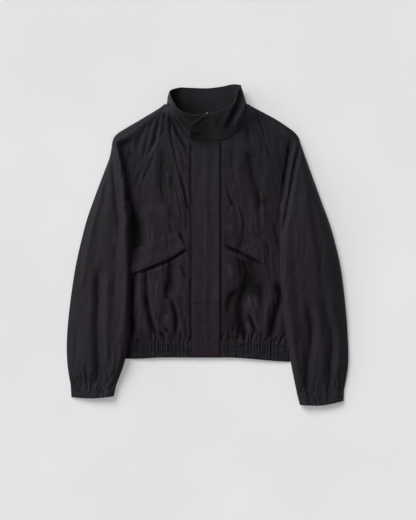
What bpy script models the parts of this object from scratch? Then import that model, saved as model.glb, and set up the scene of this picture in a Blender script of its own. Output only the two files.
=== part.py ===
"""Bomber jacket laid flat on its back: raglan sleeves down beside the body, collar standing open.

Every piece is one closed cloth wall in its own object.  Tables are in millimetres, with
+X to the wearer's left, +Y towards the collar and +Z up from the surface the jacket lies on.
Tables of a side give distances from the middle, and side() turns them into x.
"""
import math

import bpy
from mathutils import Vector

MM = 0.001
CLOTH = 1.5            # wall of a single panel
FACED = 2.0            # wall of doubled cloth: collar, placket and flaps
TAPE = 1.0             # wall of the zip's tape
GAP = 0.3              # between two pieces at a seam
NECK_BOW = 15.5        # depth of the back's neck curve
BACK_TUCK = 6.0        # the back steps in where the sleeve's seam climbs over the side seam
LIFT = 0.55            # between a panel and what lies on it
SEWN_SAG = 0.25        # what the facets of a front may stand over its true curve
FREE_EDGE = 0.9        # how much further the placket's free edge stands off
FLAP_LIFT = 0.9        # the flaps cross the panel's folds

RIGHT, LEFT = -1, 1    # the wearer's right and left
FLOOR = CLOTH / 2      # middle of a wall that lies on the surface
LENGTHWAYS = Vector((0, 1, 0))

CENTRE_X = -4.0        # line of the zip
ZIP_GAP = 4.0          # between the two fronts
PLACKET = dict(outer_x=-38.5, inner_x=31.0, top_y=258.2, bottom_y=-279.0)
PLACKET_ROWS = 24
NECK_Y = 259.0         # neck seam at the zip
WAIST_Y = -240.0       # seam of the waistband
HEM_Y = -281.0

# Colours of the cloth, as seen: near-black with an aubergine cast.
SHELL = (0.022, 0.018, 0.024)
TRIM = (0.019, 0.017, 0.022)
ZIP = (0.035, 0.035, 0.038)

# Sleeves, one row for each section from the neck to the cuff.
# in: raglan seam, and below the underarm the edge that lies on the body; out: outer fold;
# end: raglan seam of the back; w: share of the way from in to out; z: height of the upper cloth.
UNDERARM = 6           # row where the raglan seams end
SLEEVE_COLUMNS = ("in_x", "in_y", "out_x", "out_y", "end_x", "end_y",
                  "dip_w", "dip_z", "ridge_w", "ridge_z", "crown_z")
SLEEVES = {
    RIGHT: [
        (106, 349, 113.5, 347.5, 85, 336.5, 0.30, 22, 0.60, 20, 15),
        (126, 292, 176, 309, 104, 288, 0.35, 20, 0.70, 20, 18),
        (143, 240, 224, 278, 130, 240, 0.45, 18, 0.80, 21, 17),
        (151, 218, 237, 258, 142, 216, 0.70, 13, 0.90, 22, 16),
        (160, 196, 243, 222, 154, 192, 0.58, 11, 0.80, 31, 23),
        (181, 146, 271, 146, 176, 142, 0.24, 10, 0.43, 40, 28),
        (198, 82, 295, 80, 196, 79, -0.08, 17, 0.14, 43, 28),
        (191, 36, 308, 36, 0, 0, 0.00, 22, 0.10, 44, 28),
        (191, -50, 328, -50, 0, 0, 0.00, 20, 0.05, 40, 28),
        (191, -150, 343, -150, 0, 0, 0.00, 20, 0.06, 37, 28),
        (195, -232, 350.5, -235, 0, 0, 0.00, 19, 0.07, 34, 26),
        (217, -296, 349, -300, 0, 0, 0.00, 15, 0.08, 29, 23),
        (230, -351, 341, -351, 0, 0, 0.00, 11, 0.10, 22, 20),
    ],
    LEFT: [
        (101, 349, 107.5, 348, 84, 336.5, 0.30, 22, 0.60, 20, 15),
        (130, 304, 170, 315, 108, 298, 0.35, 20, 0.70, 20, 18),
        (146, 254, 220, 278, 132, 252, 0.45, 18, 0.80, 21, 17),
        (154, 230, 231, 255, 144, 227, 0.66, 13, 0.88, 22, 16),
        (163, 208, 242, 224, 156, 204, 0.52, 11, 0.72, 31, 23),
        (181, 160, 265, 160, 175, 157, 0.18, 10, 0.33, 40, 28),
        (192, 95, 288, 95, 190, 92, -0.09, 17, 0.11, 43, 28),
        (181, 45, 304, 42, 0, 0, 0.00, 22, 0.08, 44, 28),
        (180, -50, 329, -50, 0, 0, 0.00, 20, 0.05, 40, 28),
        (186, -150, 343, -150, 0, 0, 0.00, 20, 0.06, 37, 28),
        (198, -232, 349, -235, 0, 0, 0.00, 19, 0.07, 34, 26),
        (213, -300, 350, -302, 0, 0, 0.00, 15, 0.08, 29, 23),
        (226, -366, 341, -365, 0, 0, 0.00, 11, 0.10, 22, 20),
    ],
}

# Side seams under the sleeves: y, x and the height of the front there.
SIDE_SEAMS = {
    RIGHT: [(82, 198, 11), (62, 210, 6), (40, 219, 3.2), (0, 232, 2.9), (-50, 245, 2.9),
            (-100, 250, 2.9), (-150, 248, 2.9), (-200, 238, 2.9), (-240, 219, 3.4)],
    LEFT: [(95, 192, 11), (75, 203, 6), (53, 213, 3.2), (0, 231, 2.9), (-50, 243, 2.9),
           (-100, 247, 2.9), (-150, 244, 2.9), (-200, 232, 2.9), (-240, 214, 3.4)],
}

# Front neckline above the neck seam's middle: y and x.
NECKLINES = {
    RIGHT: [(259, 36), (268, 41), (280, 48), (292, 61), (315, 72), (350, 80)],
    LEFT: [(259, 44), (268, 54), (284, 69), (304, 81), (325, 89), (350, 94)],
}

# Height of the fronts along the zip: y and z.
CENTRE_HEIGHT = [(348, 27), (259, 27), (150, 25), (50, 26), (-50, 27), (-150, 25), (-210, 19),
                 (-240, 15), (-281, 13)]
RAGLAN_HEIGHT = [(348, 22), (290, 22), (240, 21), (190, 18), (140, 15), (95, 11.4), (82, 11)]
CROWN_REACH = 150.0    # how far in from its edge a front takes to rise

# Large soft folds in the upper cloth: x and y of both ends, depth and half width.
FOLDS = [
    (-99, 320, -52, 85, 4.0, 12),        # from the collar to the placket, wearer's right
    (-76, 315, -50, 230, 2.5, 9),
    (-150, -58, -124, -232, 4.0, 13),    # below the right flap
    (-92, -30, -80, -225, 2.5, 12),
    (95, 70, 92, -232, 6.0, 14),         # the long one beside the left flap
    (172, -75, 160, -235, 4.0, 13),
    (100, 205, 134, 50, 3.0, 16),
    (-268, -70, -268, -345, 6.0, 12),    # along the right sleeve
    (258, -185, 248, -345, 6.0, 11),     # along the left sleeve
    (266, 45, 312, -355, 4.0, 11),
]
NECK_RISE = [(-84, 337, 15, 34), (88, 337, 13, 34)]    # x, y, height and reach beside the collar

# Collar, from its free end at the front round the neck to the end under the lap.
ON_FRONT = 0           # a foot at this height stands on the fronts
COLLAR_COLUMNS = ("foot_x", "foot_y", "foot_z", "top_x", "top_y", "top_z", "bulge")
COLLAR = [
    (-41, 261, 0, -42, 296, 70, 6),
    (-22, 260, 0, -22, 309, 70, 5),
    (0, 259.5, 0, -2, 321, 68, 4),
    (26, 260, 0, 22, 326, 66, 4),
    (54, 267, 0, 50, 338, 64, 4),
    (76, 285, 0, 66, 352, 62, 5),
    (90, 310, 0, 76, 369, 58, 6),
    (95, 334, 0, 82, 384, 48, 7),
    (98, 348, 38.5, 84, 392, 40, 6),
    (105, 351.5, 14, 84, 398, 28, 3),
    (86, 339, 2.5, 66, 400, 15, 0),
    (45, 328, 1.2, 36, 395, 10, 0),
    (0, 323.2, 1.2, 0, 391, 8, 0),
    (-45, 328, 1.2, -45, 392, 10, 0),
    (-88, 339, 2.5, -76, 391, 17, 0),
    (-110, 351.5, 13, -97, 382, 34, 3),
    (-96, 348, 38.5, -99, 368, 60, 7),
    (-78, 326, 0, -86, 350, 74, 8),
    (-63, 296, 0, -68, 331, 74, 6),
    (-46, 274, 0, -44, 322, 69, 3),
    (-24, 265.5, 0, -22, 318, 65, 0),
    (-15.5, 265, 0, -15, 318.5, 63, 0),
]

BUCKLE = dict(low=(40, 280), high=(84, 384), depth=9.0, width=8.0, above=45)

# The tape's way up behind the collar's lap: y and z, and its edges there.
ZIP_IN_COLLAR = [(324, 64.6), (309, 55.6), (294, 46.4), (279, 37.2), (265.5, 28.4), (262, 25.6)]
ZIP_EDGES = (-12.5, 9.0)
ZIP_HALF = 13.0        # half the tape's width between the fronts

# Pocket flaps, inner end to outer end: upper edge and lower edge.
FLAP_COLUMNS = ("up_x", "up_y", "low_x", "low_y")
FLAPS = {
    RIGHT: [(-76, 32.5, -56, -9), (-98, 24, -89, -30), (-140, 7, -134, -49), (-189.6, -12, -189.6, -73)],
    LEFT: [(37, 55, 38, 2), (60, 49.5, 70, -9), (99, 32, 102, -25), (139, 12.5, 142.5, -48)],
}

CUFFS = {
    RIGHT: dict(foot=[(0.0, -377.5), (0.5, -382.5), (1.0, -377.5)], in_x=235, out_x=339),
    LEFT: dict(foot=[(0.0, -399.0), (0.5, -400.0), (1.0, -389.5)], in_x=233.5, out_x=339),
}
RIDGE_COLUMN = 4       # place of the ridge in a sleeve's section
BAND_PITCH = 15.0      # gathers of the waistband
GATHER = 0.9           # height of a gather either way


def through(rows, steps):
    """Points of a smooth curve through the rows, with `steps` spans between two rows."""
    points = []
    last = len(rows) - 1
    for i in range(last):
        near = (rows[max(i - 1, 0)], rows[i], rows[i + 1], rows[min(i + 2, last)])
        for s in range(steps):
            t = s / steps
            points.append(tuple(
                0.5 * (2 * b + (c - a) * t + (2 * a - 5 * b + 4 * c - d) * t * t
                       + (3 * b - a - 3 * c + d) * t ** 3)
                for a, b, c, d in zip(*near)))
    points.append(tuple(float(v) for v in rows[last]))
    return points


def lookup(rows, key):
    """The other columns of a table at a value of its first column, in either order."""
    ordered = sorted(rows)
    key = min(max(key, ordered[0][0]), ordered[-1][0])
    for low, high in zip(ordered, ordered[1:]):
        if key <= high[0]:
            t = (key - low[0]) / (high[0] - low[0])
            found = [a + (b - a) * t for a, b in zip(low[1:], high[1:])]
            return found[0] if len(found) == 1 else found
    raise ValueError("empty table")


def relief(x, y):
    """What the folds and the rise beside the collar add to the height of the upper cloth."""
    z = 0.0
    for x0, y0, x1, y1, depth, width in FOLDS:
        run = Vector((x1 - x0, y1 - y0))
        here = Vector((x - x0, y - y0))
        t = here.dot(run) / run.length_squared
        off = (here - run * t).length
        fade = max(0.0, min(1.0, (t + 0.08) / 0.2)) * max(0.0, min(1.0, (1.08 - t) / 0.2))
        z -= depth * fade * math.exp(-(off / width) ** 2)
    for cx, cy, height, reach in NECK_RISE:
        z += height * math.exp(-((x - cx) ** 2 + (y - cy) ** 2) / reach ** 2)
    return z


def front_edge(side, y):
    """x from the middle and z of a front's outer edge: raglan seam, then side seam."""
    under = SLEEVES[side][UNDERARM]
    if y <= under[1]:
        return lookup(SIDE_SEAMS[side], y)
    seam = [(row[1], row[0]) for row in through(SLEEVES[side][:UNDERARM + 1], 2)]
    return [lookup(seam, y), lookup(RAGLAN_HEIGHT, y)]


def front_height(side, x, y):
    """Height of a front's middle surface."""
    edge_x, edge_z = front_edge(side, y)
    inward = max(0.0, edge_x - side * x)
    share = 1 - (1 - min(inward / CROWN_REACH, 1)) ** 1.5
    soft = min(1.0, inward / 25.0) if y < SLEEVES[side][UNDERARM][1] else 1.0
    return edge_z + (lookup(CENTRE_HEIGHT, y) - edge_z) * share + relief(x, y) * soft


def material(name, colour):
    found = bpy.data.materials.new(name)
    found.use_nodes = True
    shader = found.node_tree.nodes["Principled BSDF"]
    shader.inputs["Base Color"].default_value = (*colour, 1)
    shader.inputs["Roughness"].default_value = 0.8
    return found


def rim_normal(points, i, across, normal):
    """Direction of the wall's thickness on an edge, so that two rims at a seam are parallel."""
    tangent = (points[min(i + 1, len(points) - 1)] - points[max(i - 1, 0)]).normalized()
    if across == "upright":
        turned = Vector((0, 0, 1)) - tangent * tangent.z
    else:
        turned = tangent.cross(across)
    turned.normalize()
    return turned if turned.dot(normal) >= 0 else -turned


def cloth(name, rows, wall, colour, rims=None):
    """A wall of cloth round a grid of middle points, as one closed body.

    `rims` names the edges that meet another piece: first, last (rows) and start, stop (columns).
    """
    grid = [[Vector(p) for p in row] for row in rows]
    n, m = len(grid), len(grid[0])

    def at(i, j):
        return grid[min(max(i, 0), n - 1)][min(max(j, 0), m - 1)]

    normals = [[(at(i + 1, j) - at(i - 1, j)).cross(at(i, j + 1) - at(i, j - 1)).normalized()
                for j in range(m)] for i in range(n)]
    for edge, across in (rims or {}).items():
        if edge in ("first", "last"):
            i = 0 if edge == "first" else n - 1
            normals[i] = [rim_normal(grid[i], j, across, normals[i][j]) for j in range(m)]
        else:
            j = 0 if edge == "start" else m - 1
            column = [row[j] for row in grid]
            for i in range(n):
                normals[i][j] = rim_normal(column, i, across, normals[i][j])

    half = wall / 2
    verts = []
    for sign in (1, -1):
        for i in range(n):
            verts += [tuple((grid[i][j] + normals[i][j] * half * sign) * MM) for j in range(m)]
    faces = []

    def upper(i, j):
        return i * m + j

    def under(i, j):
        return n * m + i * m + j

    for i in range(n - 1):
        for j in range(m - 1):
            faces.append([upper(i, j), upper(i + 1, j), upper(i + 1, j + 1), upper(i, j + 1)])
            faces.append([under(i, j), under(i, j + 1), under(i + 1, j + 1), under(i + 1, j)])
    for j in range(m - 1):
        faces.append([upper(0, j), upper(0, j + 1), under(0, j + 1), under(0, j)])
        faces.append([upper(n - 1, j + 1), upper(n - 1, j), under(n - 1, j), under(n - 1, j + 1)])
    for i in range(n - 1):
        faces.append([upper(i + 1, 0), upper(i, 0), under(i, 0), under(i + 1, 0)])
        faces.append([upper(i, m - 1), upper(i + 1, m - 1), under(i + 1, m - 1), under(i, m - 1)])
    mesh = bpy.data.meshes.new(name)
    mesh.from_pydata(verts, [], faces)
    mesh.validate()
    mesh.shade_smooth()
    mesh.set_sharp_from_angle(angle=math.radians(50))
    piece = bpy.data.objects.new(name, mesh)
    piece.data.materials.append(material(name + "_cloth", colour))
    bpy.context.scene.collection.objects.link(piece)
    return piece


def pulled_in(row_or_column, towards, distance=GAP / 2):
    """Edge points moved towards their neighbours, to leave the seam's gap."""
    moved = []
    for point, inner in zip(row_or_column, towards):
        point, inner = Vector(point), Vector(inner)
        moved.append(point + (inner - point).normalized() * distance)
    return moved


def seamed(rows, edges):
    """A grid with the named edges pulled in."""
    grid = [[Vector(p) for p in row] for row in rows]
    for edge in edges:
        if edge == "first":
            grid[0] = pulled_in(grid[0], grid[1])
        elif edge == "last":
            grid[-1] = pulled_in(grid[-1], grid[-2])
        else:
            j, k = (0, 1) if edge == "start" else (-1, -2)
            moved = pulled_in([row[j] for row in grid], [row[k] for row in grid])
            for row, point in zip(grid, moved):
                row[j] = point
    return grid


def sleeve_sections(side):
    """Middle points of a sleeve: one row for each section, from the front seam round to the back."""
    sections = []
    for number, values in enumerate(through(SLEEVES[side], 2)):
        row = dict(zip(SLEEVE_COLUMNS, values))
        inner = Vector((row["in_x"], row["in_y"]))
        outer = Vector((row["out_x"], row["out_y"]))

        def top(w, z):
            x, y = inner.lerp(outer, w)
            return (side * x, y, z + relief(side * x, y))

        dip, ridge, crown = row["dip_w"], row["ridge_w"], row["crown_z"]
        if number < 2 * UNDERARM:
            dip = max(dip, 0.06)
        if number == 2 * UNDERARM + 1:
            inner.x = SLEEVES[side][UNDERARM + 1][0]
        rest = 1 - ridge
        if number <= 2 * UNDERARM:
            seam = (side * inner.x, inner.y)
            seam_z = front_height(side, *seam) - relief(*seam)
            dip_z = row["dip_z"]
            points = [top(0, seam_z), top(dip * 0.35, seam_z * 0.8 + dip_z * 0.2),
                      top(dip * 0.7, seam_z * 0.4 + dip_z * 0.6), top(dip, dip_z)]
            if number == 2 * UNDERARM:
                # the sleeve turns over its seam here and lies back on the front
                points[1:3] = [top(0.022, seam_z + 2.6), top(-0.03, seam_z + 3.4)]
            if number == 2 * UNDERARM - 1:
                points[1:3] = [(x, y, z + 1.2) for x, y, z in points[1:3]]
            end = Vector((row["end_x"], row["end_y"]))
            floor = [(outer.lerp(end, share), FLOOR) for share in (0.10, 0.35, 0.6, 0.8, 1.0)]
        else:
            y = inner.y
            edge_x, edge_z = lookup(SIDE_SEAMS[side], y) if y > WAIST_Y else (lookup(
                SIDE_SEAMS[side], WAIST_Y)[0], 3.4)
            on_body = y > HEM_Y - 6
            step = number - 2 * UNDERARM
            seam_x = edge_x + 5 if step == 1 else (edge_x - 12 if on_body else edge_x - 4)
            seam_x = max(seam_x, inner.x + 12)
            below = body_top(side, seam_x, y) if on_body else FLOOR - CLOTH / 2 - GAP
            end_z = below + CLOTH / 2 + LIFT + (1.0 if step == 1 else 0.0)
            turn_x = seam_x * 0.35 + inner.x * 0.65
            turn_z = max(body_top(side, turn_x, y) if on_body else 0, below) + CLOTH / 2 + LIFT + 2.0
            points = [(side * seam_x, y, end_z + CLOTH + GAP),
                      (side * turn_x, y, turn_z),
                      (side * (inner.x + 2.0), y, max(turn_z + 2.5, row["dip_z"] - 8)),
                      (side * inner.x, y, row["dip_z"])]
            ramp = edge_x + 13
            bend_z = FLOOR if not on_body else end_z if seam_x > edge_x else 5.0
            floor = [(Vector((outer.x - 0.10 * (outer.x - ramp), outer.y)), FLOOR),
                     (outer.lerp(Vector((ramp, y)), 0.5), FLOOR),
                     (Vector((ramp, y)), FLOOR),
                     (Vector((max(edge_x + 1, seam_x), y)), bend_z),
                     (Vector((seam_x, y)), end_z)]
        points += [top(ridge, row["ridge_z"]),
                   top(ridge + rest * 0.2, crown * 0.75 + row["ridge_z"] * 0.25),
                   top(ridge + rest * 0.4, crown),
                   top(ridge + rest * 0.62, crown),
                   top(ridge + rest * 0.84, crown * 0.82),
                   top(ridge + rest * 0.965, crown * 0.5)]
        points.append((side * outer.x, outer.y, crown * 0.25))
        points += [(side * p.x, p.y, z) for p, z in floor]
        sections.append(points)
    return sections


def body_top(side, x, y):
    """Upper face of whatever lies under a sleeve at x from the middle."""
    edge_x, edge_z = lookup(SIDE_SEAMS[side], max(y, WAIST_Y))
    if x >= edge_x:
        return edge_z + CLOTH / 2
    if y < WAIST_Y:
        return band_height(side * x, y) + CLOTH / 2 + GATHER
    return front_height(side, side * x, y) + CLOTH / 2


def band_height(x, y):
    """Height of the waistband's upper layer, without its gathers."""
    side = RIGHT if x < CENTRE_X else LEFT
    drop = (WAIST_Y - y) / (WAIST_Y - HEM_Y)
    return front_height(side, x, WAIST_Y) * (1 - 0.12 * drop)


def surface(x, y):
    """Height of the fronts and of the waistband below them."""
    if y < WAIST_Y:
        return band_height(x, y)
    return front_height(RIGHT if x < CENTRE_X else LEFT, x, y)


def front_rows(side, sections):
    """Grid of a front: rows across, from the zip or the neckline out to the seam."""
    rows = []
    upper = [section[0] for section in sections[:2 * UNDERARM + 1]]
    edge = [(abs(p[0]), p[1]) for p in upper]
    edge += [(x, y) for y, x, z in through(SIDE_SEAMS[side], 2)[1:]]
    middle = side * (CENTRE_X + side * ZIP_GAP / 2)
    inner_edge = side * PLACKET["outer_x" if side == RIGHT else "inner_x"]
    for x_out, y in edge:
        x_in = middle if y <= NECK_Y else lookup(NECKLINES[side], y)
        near = [x_in, (x_in + inner_edge) / 2, inner_edge] if y <= NECK_Y else [
            x_in, x_in + (x_out - x_in) * 0.1, x_in + (x_out - x_in) * 0.2]
        rest = [near[-1] + (x_out - near[-1]) * share
                for share in (0.12, 0.24, 0.36, 0.48, 0.6, 0.72, 0.84, 0.93, 1.0)]
        rows.append([(side * x, y, front_height(side, side * x, y)) for x in near + rest])
    return rows


def back_rows(sections):
    """Grid of the back, flat on the surface, from the neck down to the waistband."""
    edges = {}
    for side in (RIGHT, LEFT):
        upper = [section[-1] for section in sections[side][:2 * UNDERARM + 1]]
        lower = [(side * x, y, FLOOR) for y, x, z in through(SIDE_SEAMS[side], 2)[1:]]
        lower[0] = (lower[0][0] - side * BACK_TUCK, *lower[0][1:])
        edges[side] = upper + lower
    rows = []
    for number, (a, b) in enumerate(zip(edges[RIGHT], edges[LEFT])):
        bow = NECK_BOW * max(0.0, 1 - number / 5)
        row = []
        for share in (0, 0.33, 0.67, 1):
            x = a[0] + (b[0] - a[0]) * share
            y = a[1] + (b[1] - a[1]) * share - bow * 4 * share * (1 - share)
            row.append((x, y, FLOOR))
        rows.append(row)
    return rows


def waistband_rows():
    """Grid of the waistband: two rings of points from the zip round the back to the zip again."""
    ends = {side: side * lookup(SIDE_SEAMS[side], WAIST_Y)[0] for side in (RIGHT, LEFT)}
    begin = {RIGHT: CENTRE_X - ZIP_GAP / 2, LEFT: CENTRE_X + ZIP_GAP / 2}
    flat = {RIGHT: PLACKET["outer_x"], LEFT: PLACKET["inner_x"]}

    def upper(side):
        run = [begin[side], (begin[side] + flat[side]) / 2, flat[side]]
        count = 2 * round(abs(ends[side] - flat[side]) / BAND_PITCH)
        run += [flat[side] + (ends[side] - side * 3 - flat[side]) * k / count for k in range(1, count + 1)]
        return [(x, GATHER * (0, 1, 0, -1)[(k - 3) % 4] if 3 <= k < len(run) - 2 else 0.0)
                for k, x in enumerate(run)]

    rows = []
    for y in (WAIST_Y, HEM_Y):
        row = [(x, y, band_height(x, y) + wave) for x, wave in upper(RIGHT)]
        row.append((ends[RIGHT] - 0.9, y, 2.3))
        backs = 12
        for k in range(backs + 1):
            x = ends[RIGHT] + 1.5 + (ends[LEFT] - ends[RIGHT] - 3.0) * k / backs
            row.append((x, y, FLOOR))
        row.append((ends[LEFT] + 0.9, y, 2.3))
        row += [(x, y, band_height(x, y) + wave) for x, wave in reversed(upper(LEFT))]
        rows.append(row)
    return rows


def collar_rows():
    """Grid of the collar: a row of points up its height at each place round the neck."""
    rows = []
    table = []
    for x, y, z, *rest in COLLAR:
        if z == ON_FRONT:
            nearby = [surface(x + dx, y + dy) for dx in (-3, 0, 3) for dy in (-3, 0, 3)]
            z = max(nearby) + CLOTH / 2 + GAP + FACED * 0.45
        table.append((x, y, z, *rest))
    for values in through(table, 2):
        row = dict(zip(COLLAR_COLUMNS, values))
        foot = Vector((row["foot_x"], row["foot_y"], row["foot_z"]))
        top = Vector((row["top_x"], row["top_y"], row["top_z"]))
        away = Vector((foot.x * 0.6, foot.y - 330, 0))
        away.normalize()
        points = [foot.lerp(top, share) + away * row["bulge"] * math.sin(math.pi * share)
                  for share in (0, 0.2, 0.4, 0.6, 0.8, 1)]
        if top.z > BUCKLE["above"] and top.x > 0:
            points = [point - Vector((0, 0, buckle(point.x, point.y))) for point in points]
        rows.append(points)
    return rows


def buckle(x, y):
    """Depth of the fold that runs down across the lapped side of the collar."""
    low, high = Vector(BUCKLE["low"]), Vector(BUCKLE["high"])
    run = high - low
    t = (Vector((x, y)) - low).dot(run) / run.length_squared
    off = (Vector((x, y)) - low - run * t).length
    fade = max(0.0, min(1.0, (t + 0.1) / 0.3))
    return BUCKLE["depth"] * fade * math.exp(-(off / BUCKLE["width"]) ** 2)


def placket_ys():
    """Places of the rows down the closure."""
    top, bottom = PLACKET["top_y"], PLACKET["bottom_y"]
    return [top + (bottom - top) * k / PLACKET_ROWS for k in range(PLACKET_ROWS + 1)]


def placket_rows():
    """Grid of the placket, sewn along its inner edge and free along the outer one."""
    x_in, x_out = PLACKET["inner_x"], PLACKET["outer_x"]
    up = CLOTH / 2 + GAP + FACED / 2 + SEWN_SAG
    rows = []
    for y in placket_ys():
        rows.append([(x, y, surface(x, y) + up + FREE_EDGE * (x_in - x) / (x_in - x_out))
                     for x in (x_out, (x_out + CENTRE_X) / 2, CENTRE_X, (CENTRE_X + x_in) / 2, x_in)])
    return rows


def zip_rows():
    """Grid of the zip's tape: up inside the collar's lap, then down between the fronts."""
    left, right = ZIP_EDGES
    rows = [[(x, y, z) for x in (left, (left + right) / 2, right)] for y, z in ZIP_IN_COLLAR]
    down = CLOTH / 2 + LIFT + SEWN_SAG + TAPE / 2
    for y in placket_ys():
        rows.append([(CENTRE_X + dx, y, surface(CENTRE_X + dx, y) - down)
                     for dx in (-ZIP_HALF, 0, ZIP_HALF)])
    return rows


def on_panel(rows, x, y):
    """Height of a panel's facets; its rows run along x."""
    def along(row):
        points = sorted(row)
        return lookup([(p[0], p[2]) for p in points], x)
    heights = [(row[0][1], along(row)) for row in rows]
    return lookup(heights, y)


def flap_rows(side, panel):
    rows = []
    for values in through(FLAPS[side], 3):
        row = dict(zip(FLAP_COLUMNS, values))
        up = Vector((row["up_x"], row["up_y"]))
        low = Vector((row["low_x"], row["low_y"]))
        points = []
        for share in (0, 0.25, 0.5, 0.75, 1):
            x, y = up.lerp(low, share)
            points.append((side * abs(x), y, on_panel(panel, x, y) + CLOTH / 2 + FLAP_LIFT + FACED / 2))
        rows.append(points)
    return rows


def cuff_rows(side, section):
    """Grid of a cuff: rings that carry on from the sleeve's last section."""
    cuff = CUFFS[side]
    rows = []
    xs = [abs(p[0]) for p in section]
    low, high = min(xs), max(xs)
    ring = []
    for j, (a, b) in enumerate(zip(section, section[1:])):
        parts = 4 if RIDGE_COLUMN <= j < RIDGE_COLUMN + 5 else 1
        ring += [Vector(a).lerp(Vector(b), k / parts) for k in range(parts)]
    ring.append(Vector(section[-1]))
    for share in (0.0, 0.35, 0.7, 1.0):
        row = []
        for j, (x, y, z) in enumerate(ring):
            w = (abs(x) - low) / (high - low)
            gathered = RIDGE_COLUMN < j < RIDGE_COLUMN + 19
            foot_x = cuff["in_x"] + (cuff["out_x"] - cuff["in_x"]) * w
            foot_y = lookup(cuff["foot"], w)
            row.append((side * (abs(x) + (foot_x - abs(x)) * share),
                        y + (foot_y - y) * share,
                        z + (GATHER * (1, -1)[j % 2] * min(1, share * 4) if gathered else 0)))
        rows.append(row)
    return rows


def build():
    for old in list(bpy.data.objects):
        bpy.data.objects.remove(old)
    names = {RIGHT: "right", LEFT: "left"}
    sections = {side: sleeve_sections(side) for side in (RIGHT, LEFT)}
    for side in (RIGHT, LEFT):
        sleeve = seamed(sections[side], ("first", "last", "start", "stop"))
        fixed = [row if side == RIGHT else row[::-1] for row in sleeve]
        cloth("sleeve_" + names[side], fixed, CLOTH, SHELL,
              rims={"start": "upright", "stop": "upright", "last": LENGTHWAYS})
        panel = front_rows(side, sections[side])
        front = seamed(panel, ("last", "stop"))
        fixed = [row[::-1] if side == RIGHT else row for row in front]
        cloth("front_" + names[side], fixed, CLOTH, SHELL,
              rims={"start": "upright", "stop": "upright", "last": LENGTHWAYS})
        cuff = cuff_rows(side, sections[side][-1])
        fixed = [row if side == RIGHT else row[::-1] for row in seamed(cuff, ("first",))]
        cloth("cuff_" + names[side], fixed, CLOTH, TRIM, rims={"first": LENGTHWAYS})
        cloth("pocket_flap_" + names[side], flap_rows(side, panel), FACED, SHELL)
    back = seamed(back_rows(sections), ("last", "start", "stop"))
    cloth("back", [row[::-1] for row in back], CLOTH, SHELL)
    cloth("waistband", seamed(waistband_rows(), ("first",)), CLOTH, TRIM, rims={"first": LENGTHWAYS})
    cloth("collar", collar_rows(), FACED, SHELL)
    cloth("placket", placket_rows(), FACED, SHELL)
    cloth("zip", zip_rows(), TAPE, ZIP)


build()
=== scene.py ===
# Bomber jacket laid flat on its back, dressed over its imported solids.
# Lengths are millimetres until a mesh is made: +X to the wearer's left, +Y to the collar, +Z up.
import math

import bpy
import numpy as np
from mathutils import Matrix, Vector


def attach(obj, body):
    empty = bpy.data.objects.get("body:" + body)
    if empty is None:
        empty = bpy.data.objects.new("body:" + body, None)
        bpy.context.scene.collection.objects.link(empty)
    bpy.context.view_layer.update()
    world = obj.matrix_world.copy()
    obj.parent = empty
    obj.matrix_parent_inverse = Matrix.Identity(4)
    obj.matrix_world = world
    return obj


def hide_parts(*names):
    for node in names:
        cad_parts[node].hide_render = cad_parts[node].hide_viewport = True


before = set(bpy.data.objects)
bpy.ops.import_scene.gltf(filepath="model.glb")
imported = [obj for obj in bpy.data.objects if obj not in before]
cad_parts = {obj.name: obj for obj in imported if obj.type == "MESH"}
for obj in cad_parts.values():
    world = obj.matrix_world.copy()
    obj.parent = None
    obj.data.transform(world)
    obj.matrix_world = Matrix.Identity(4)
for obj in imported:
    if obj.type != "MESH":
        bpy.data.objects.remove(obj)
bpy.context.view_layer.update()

mm = 0.001
right, left = -1, 1
sideNames = {right: "Right", left: "Left"}

jacket = dict(
    wall=0.9,                  # cloth as it shows
    solidWall=1.5,             # cloth of the solids, which sets what lies on what
    centreX=-4.0, zipGap=4.0, neckY=259.0, waistY=-240.0, hemY=-281.0,
    spacing=2.9,               # between two points of the large panels
    lowest=2.9,                # middle of a front's cloth over the back
    lift=0.55, gap=0.3,        # room between two layers, and between two rims at a seam
    rim=0.45, crease=62,       # a soft rim's share of the wall; degrees from which an edge stays sharp
    lowLeft=10.5, lowRight=3.2,      # how much lower the hem hangs at either side
    bandFall=0.42,             # share of its height that the waistband loses down to the hem
)
placketCut = dict(outerX=-38.5, innerX=31.0, topY=258.2, bottomY=-279.0)
floorZ = jacket["solidWall"] / 2


def between(a, b, slopeA, slopeB, step, t):
    # a smooth course from a to b at share t of the step, with a slope at either end
    return (a * (1 + 2 * t) * (1 - t) ** 2 + slopeA * step * t * (1 - t) ** 2
            + b * t * t * (3 - 2 * t) + slopeB * step * t * t * (t - 1))


def tangents(values, step):
    # the slope at each point, from those of the steps on either side
    slope = np.diff(values, axis=0) / step
    middle = (slope[:-1] * step[1:] + slope[1:] * step[:-1]) / (step[1:] + step[:-1])
    return np.concatenate([slope[:1], middle, slope[-1:]])


def smoothAt(keys, values, at):
    # a smooth curve through values at rising keys
    keys, values, at = (np.asarray(v, float) for v in (keys, values, at))
    flat = values.reshape(len(keys), -1)
    step = np.diff(keys)[:, None]
    tangent = tangents(flat, step)
    where = np.clip(at.ravel(), keys[0], keys[-1])
    i = np.clip(np.searchsorted(keys, where, side="right") - 1, 0, len(keys) - 2)
    t = (where - keys[i])[:, None] / step[i]
    found = between(flat[i], flat[i + 1], tangent[i], tangent[i + 1], step[i], t)
    return found.reshape(at.shape + values.shape[1:])


def tableAt(table, key):
    # the other columns of a table whose first column rises
    table = np.asarray(table, float)
    found = smoothAt(table[:, 0], table[:, 1:], key)
    return found[..., 0] if table.shape[1] == 2 else found


def runAlong(points):
    # how far each point is along the line through them
    return np.concatenate([[0], np.cumsum(np.linalg.norm(np.diff(points, axis=0), axis=1))])


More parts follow.
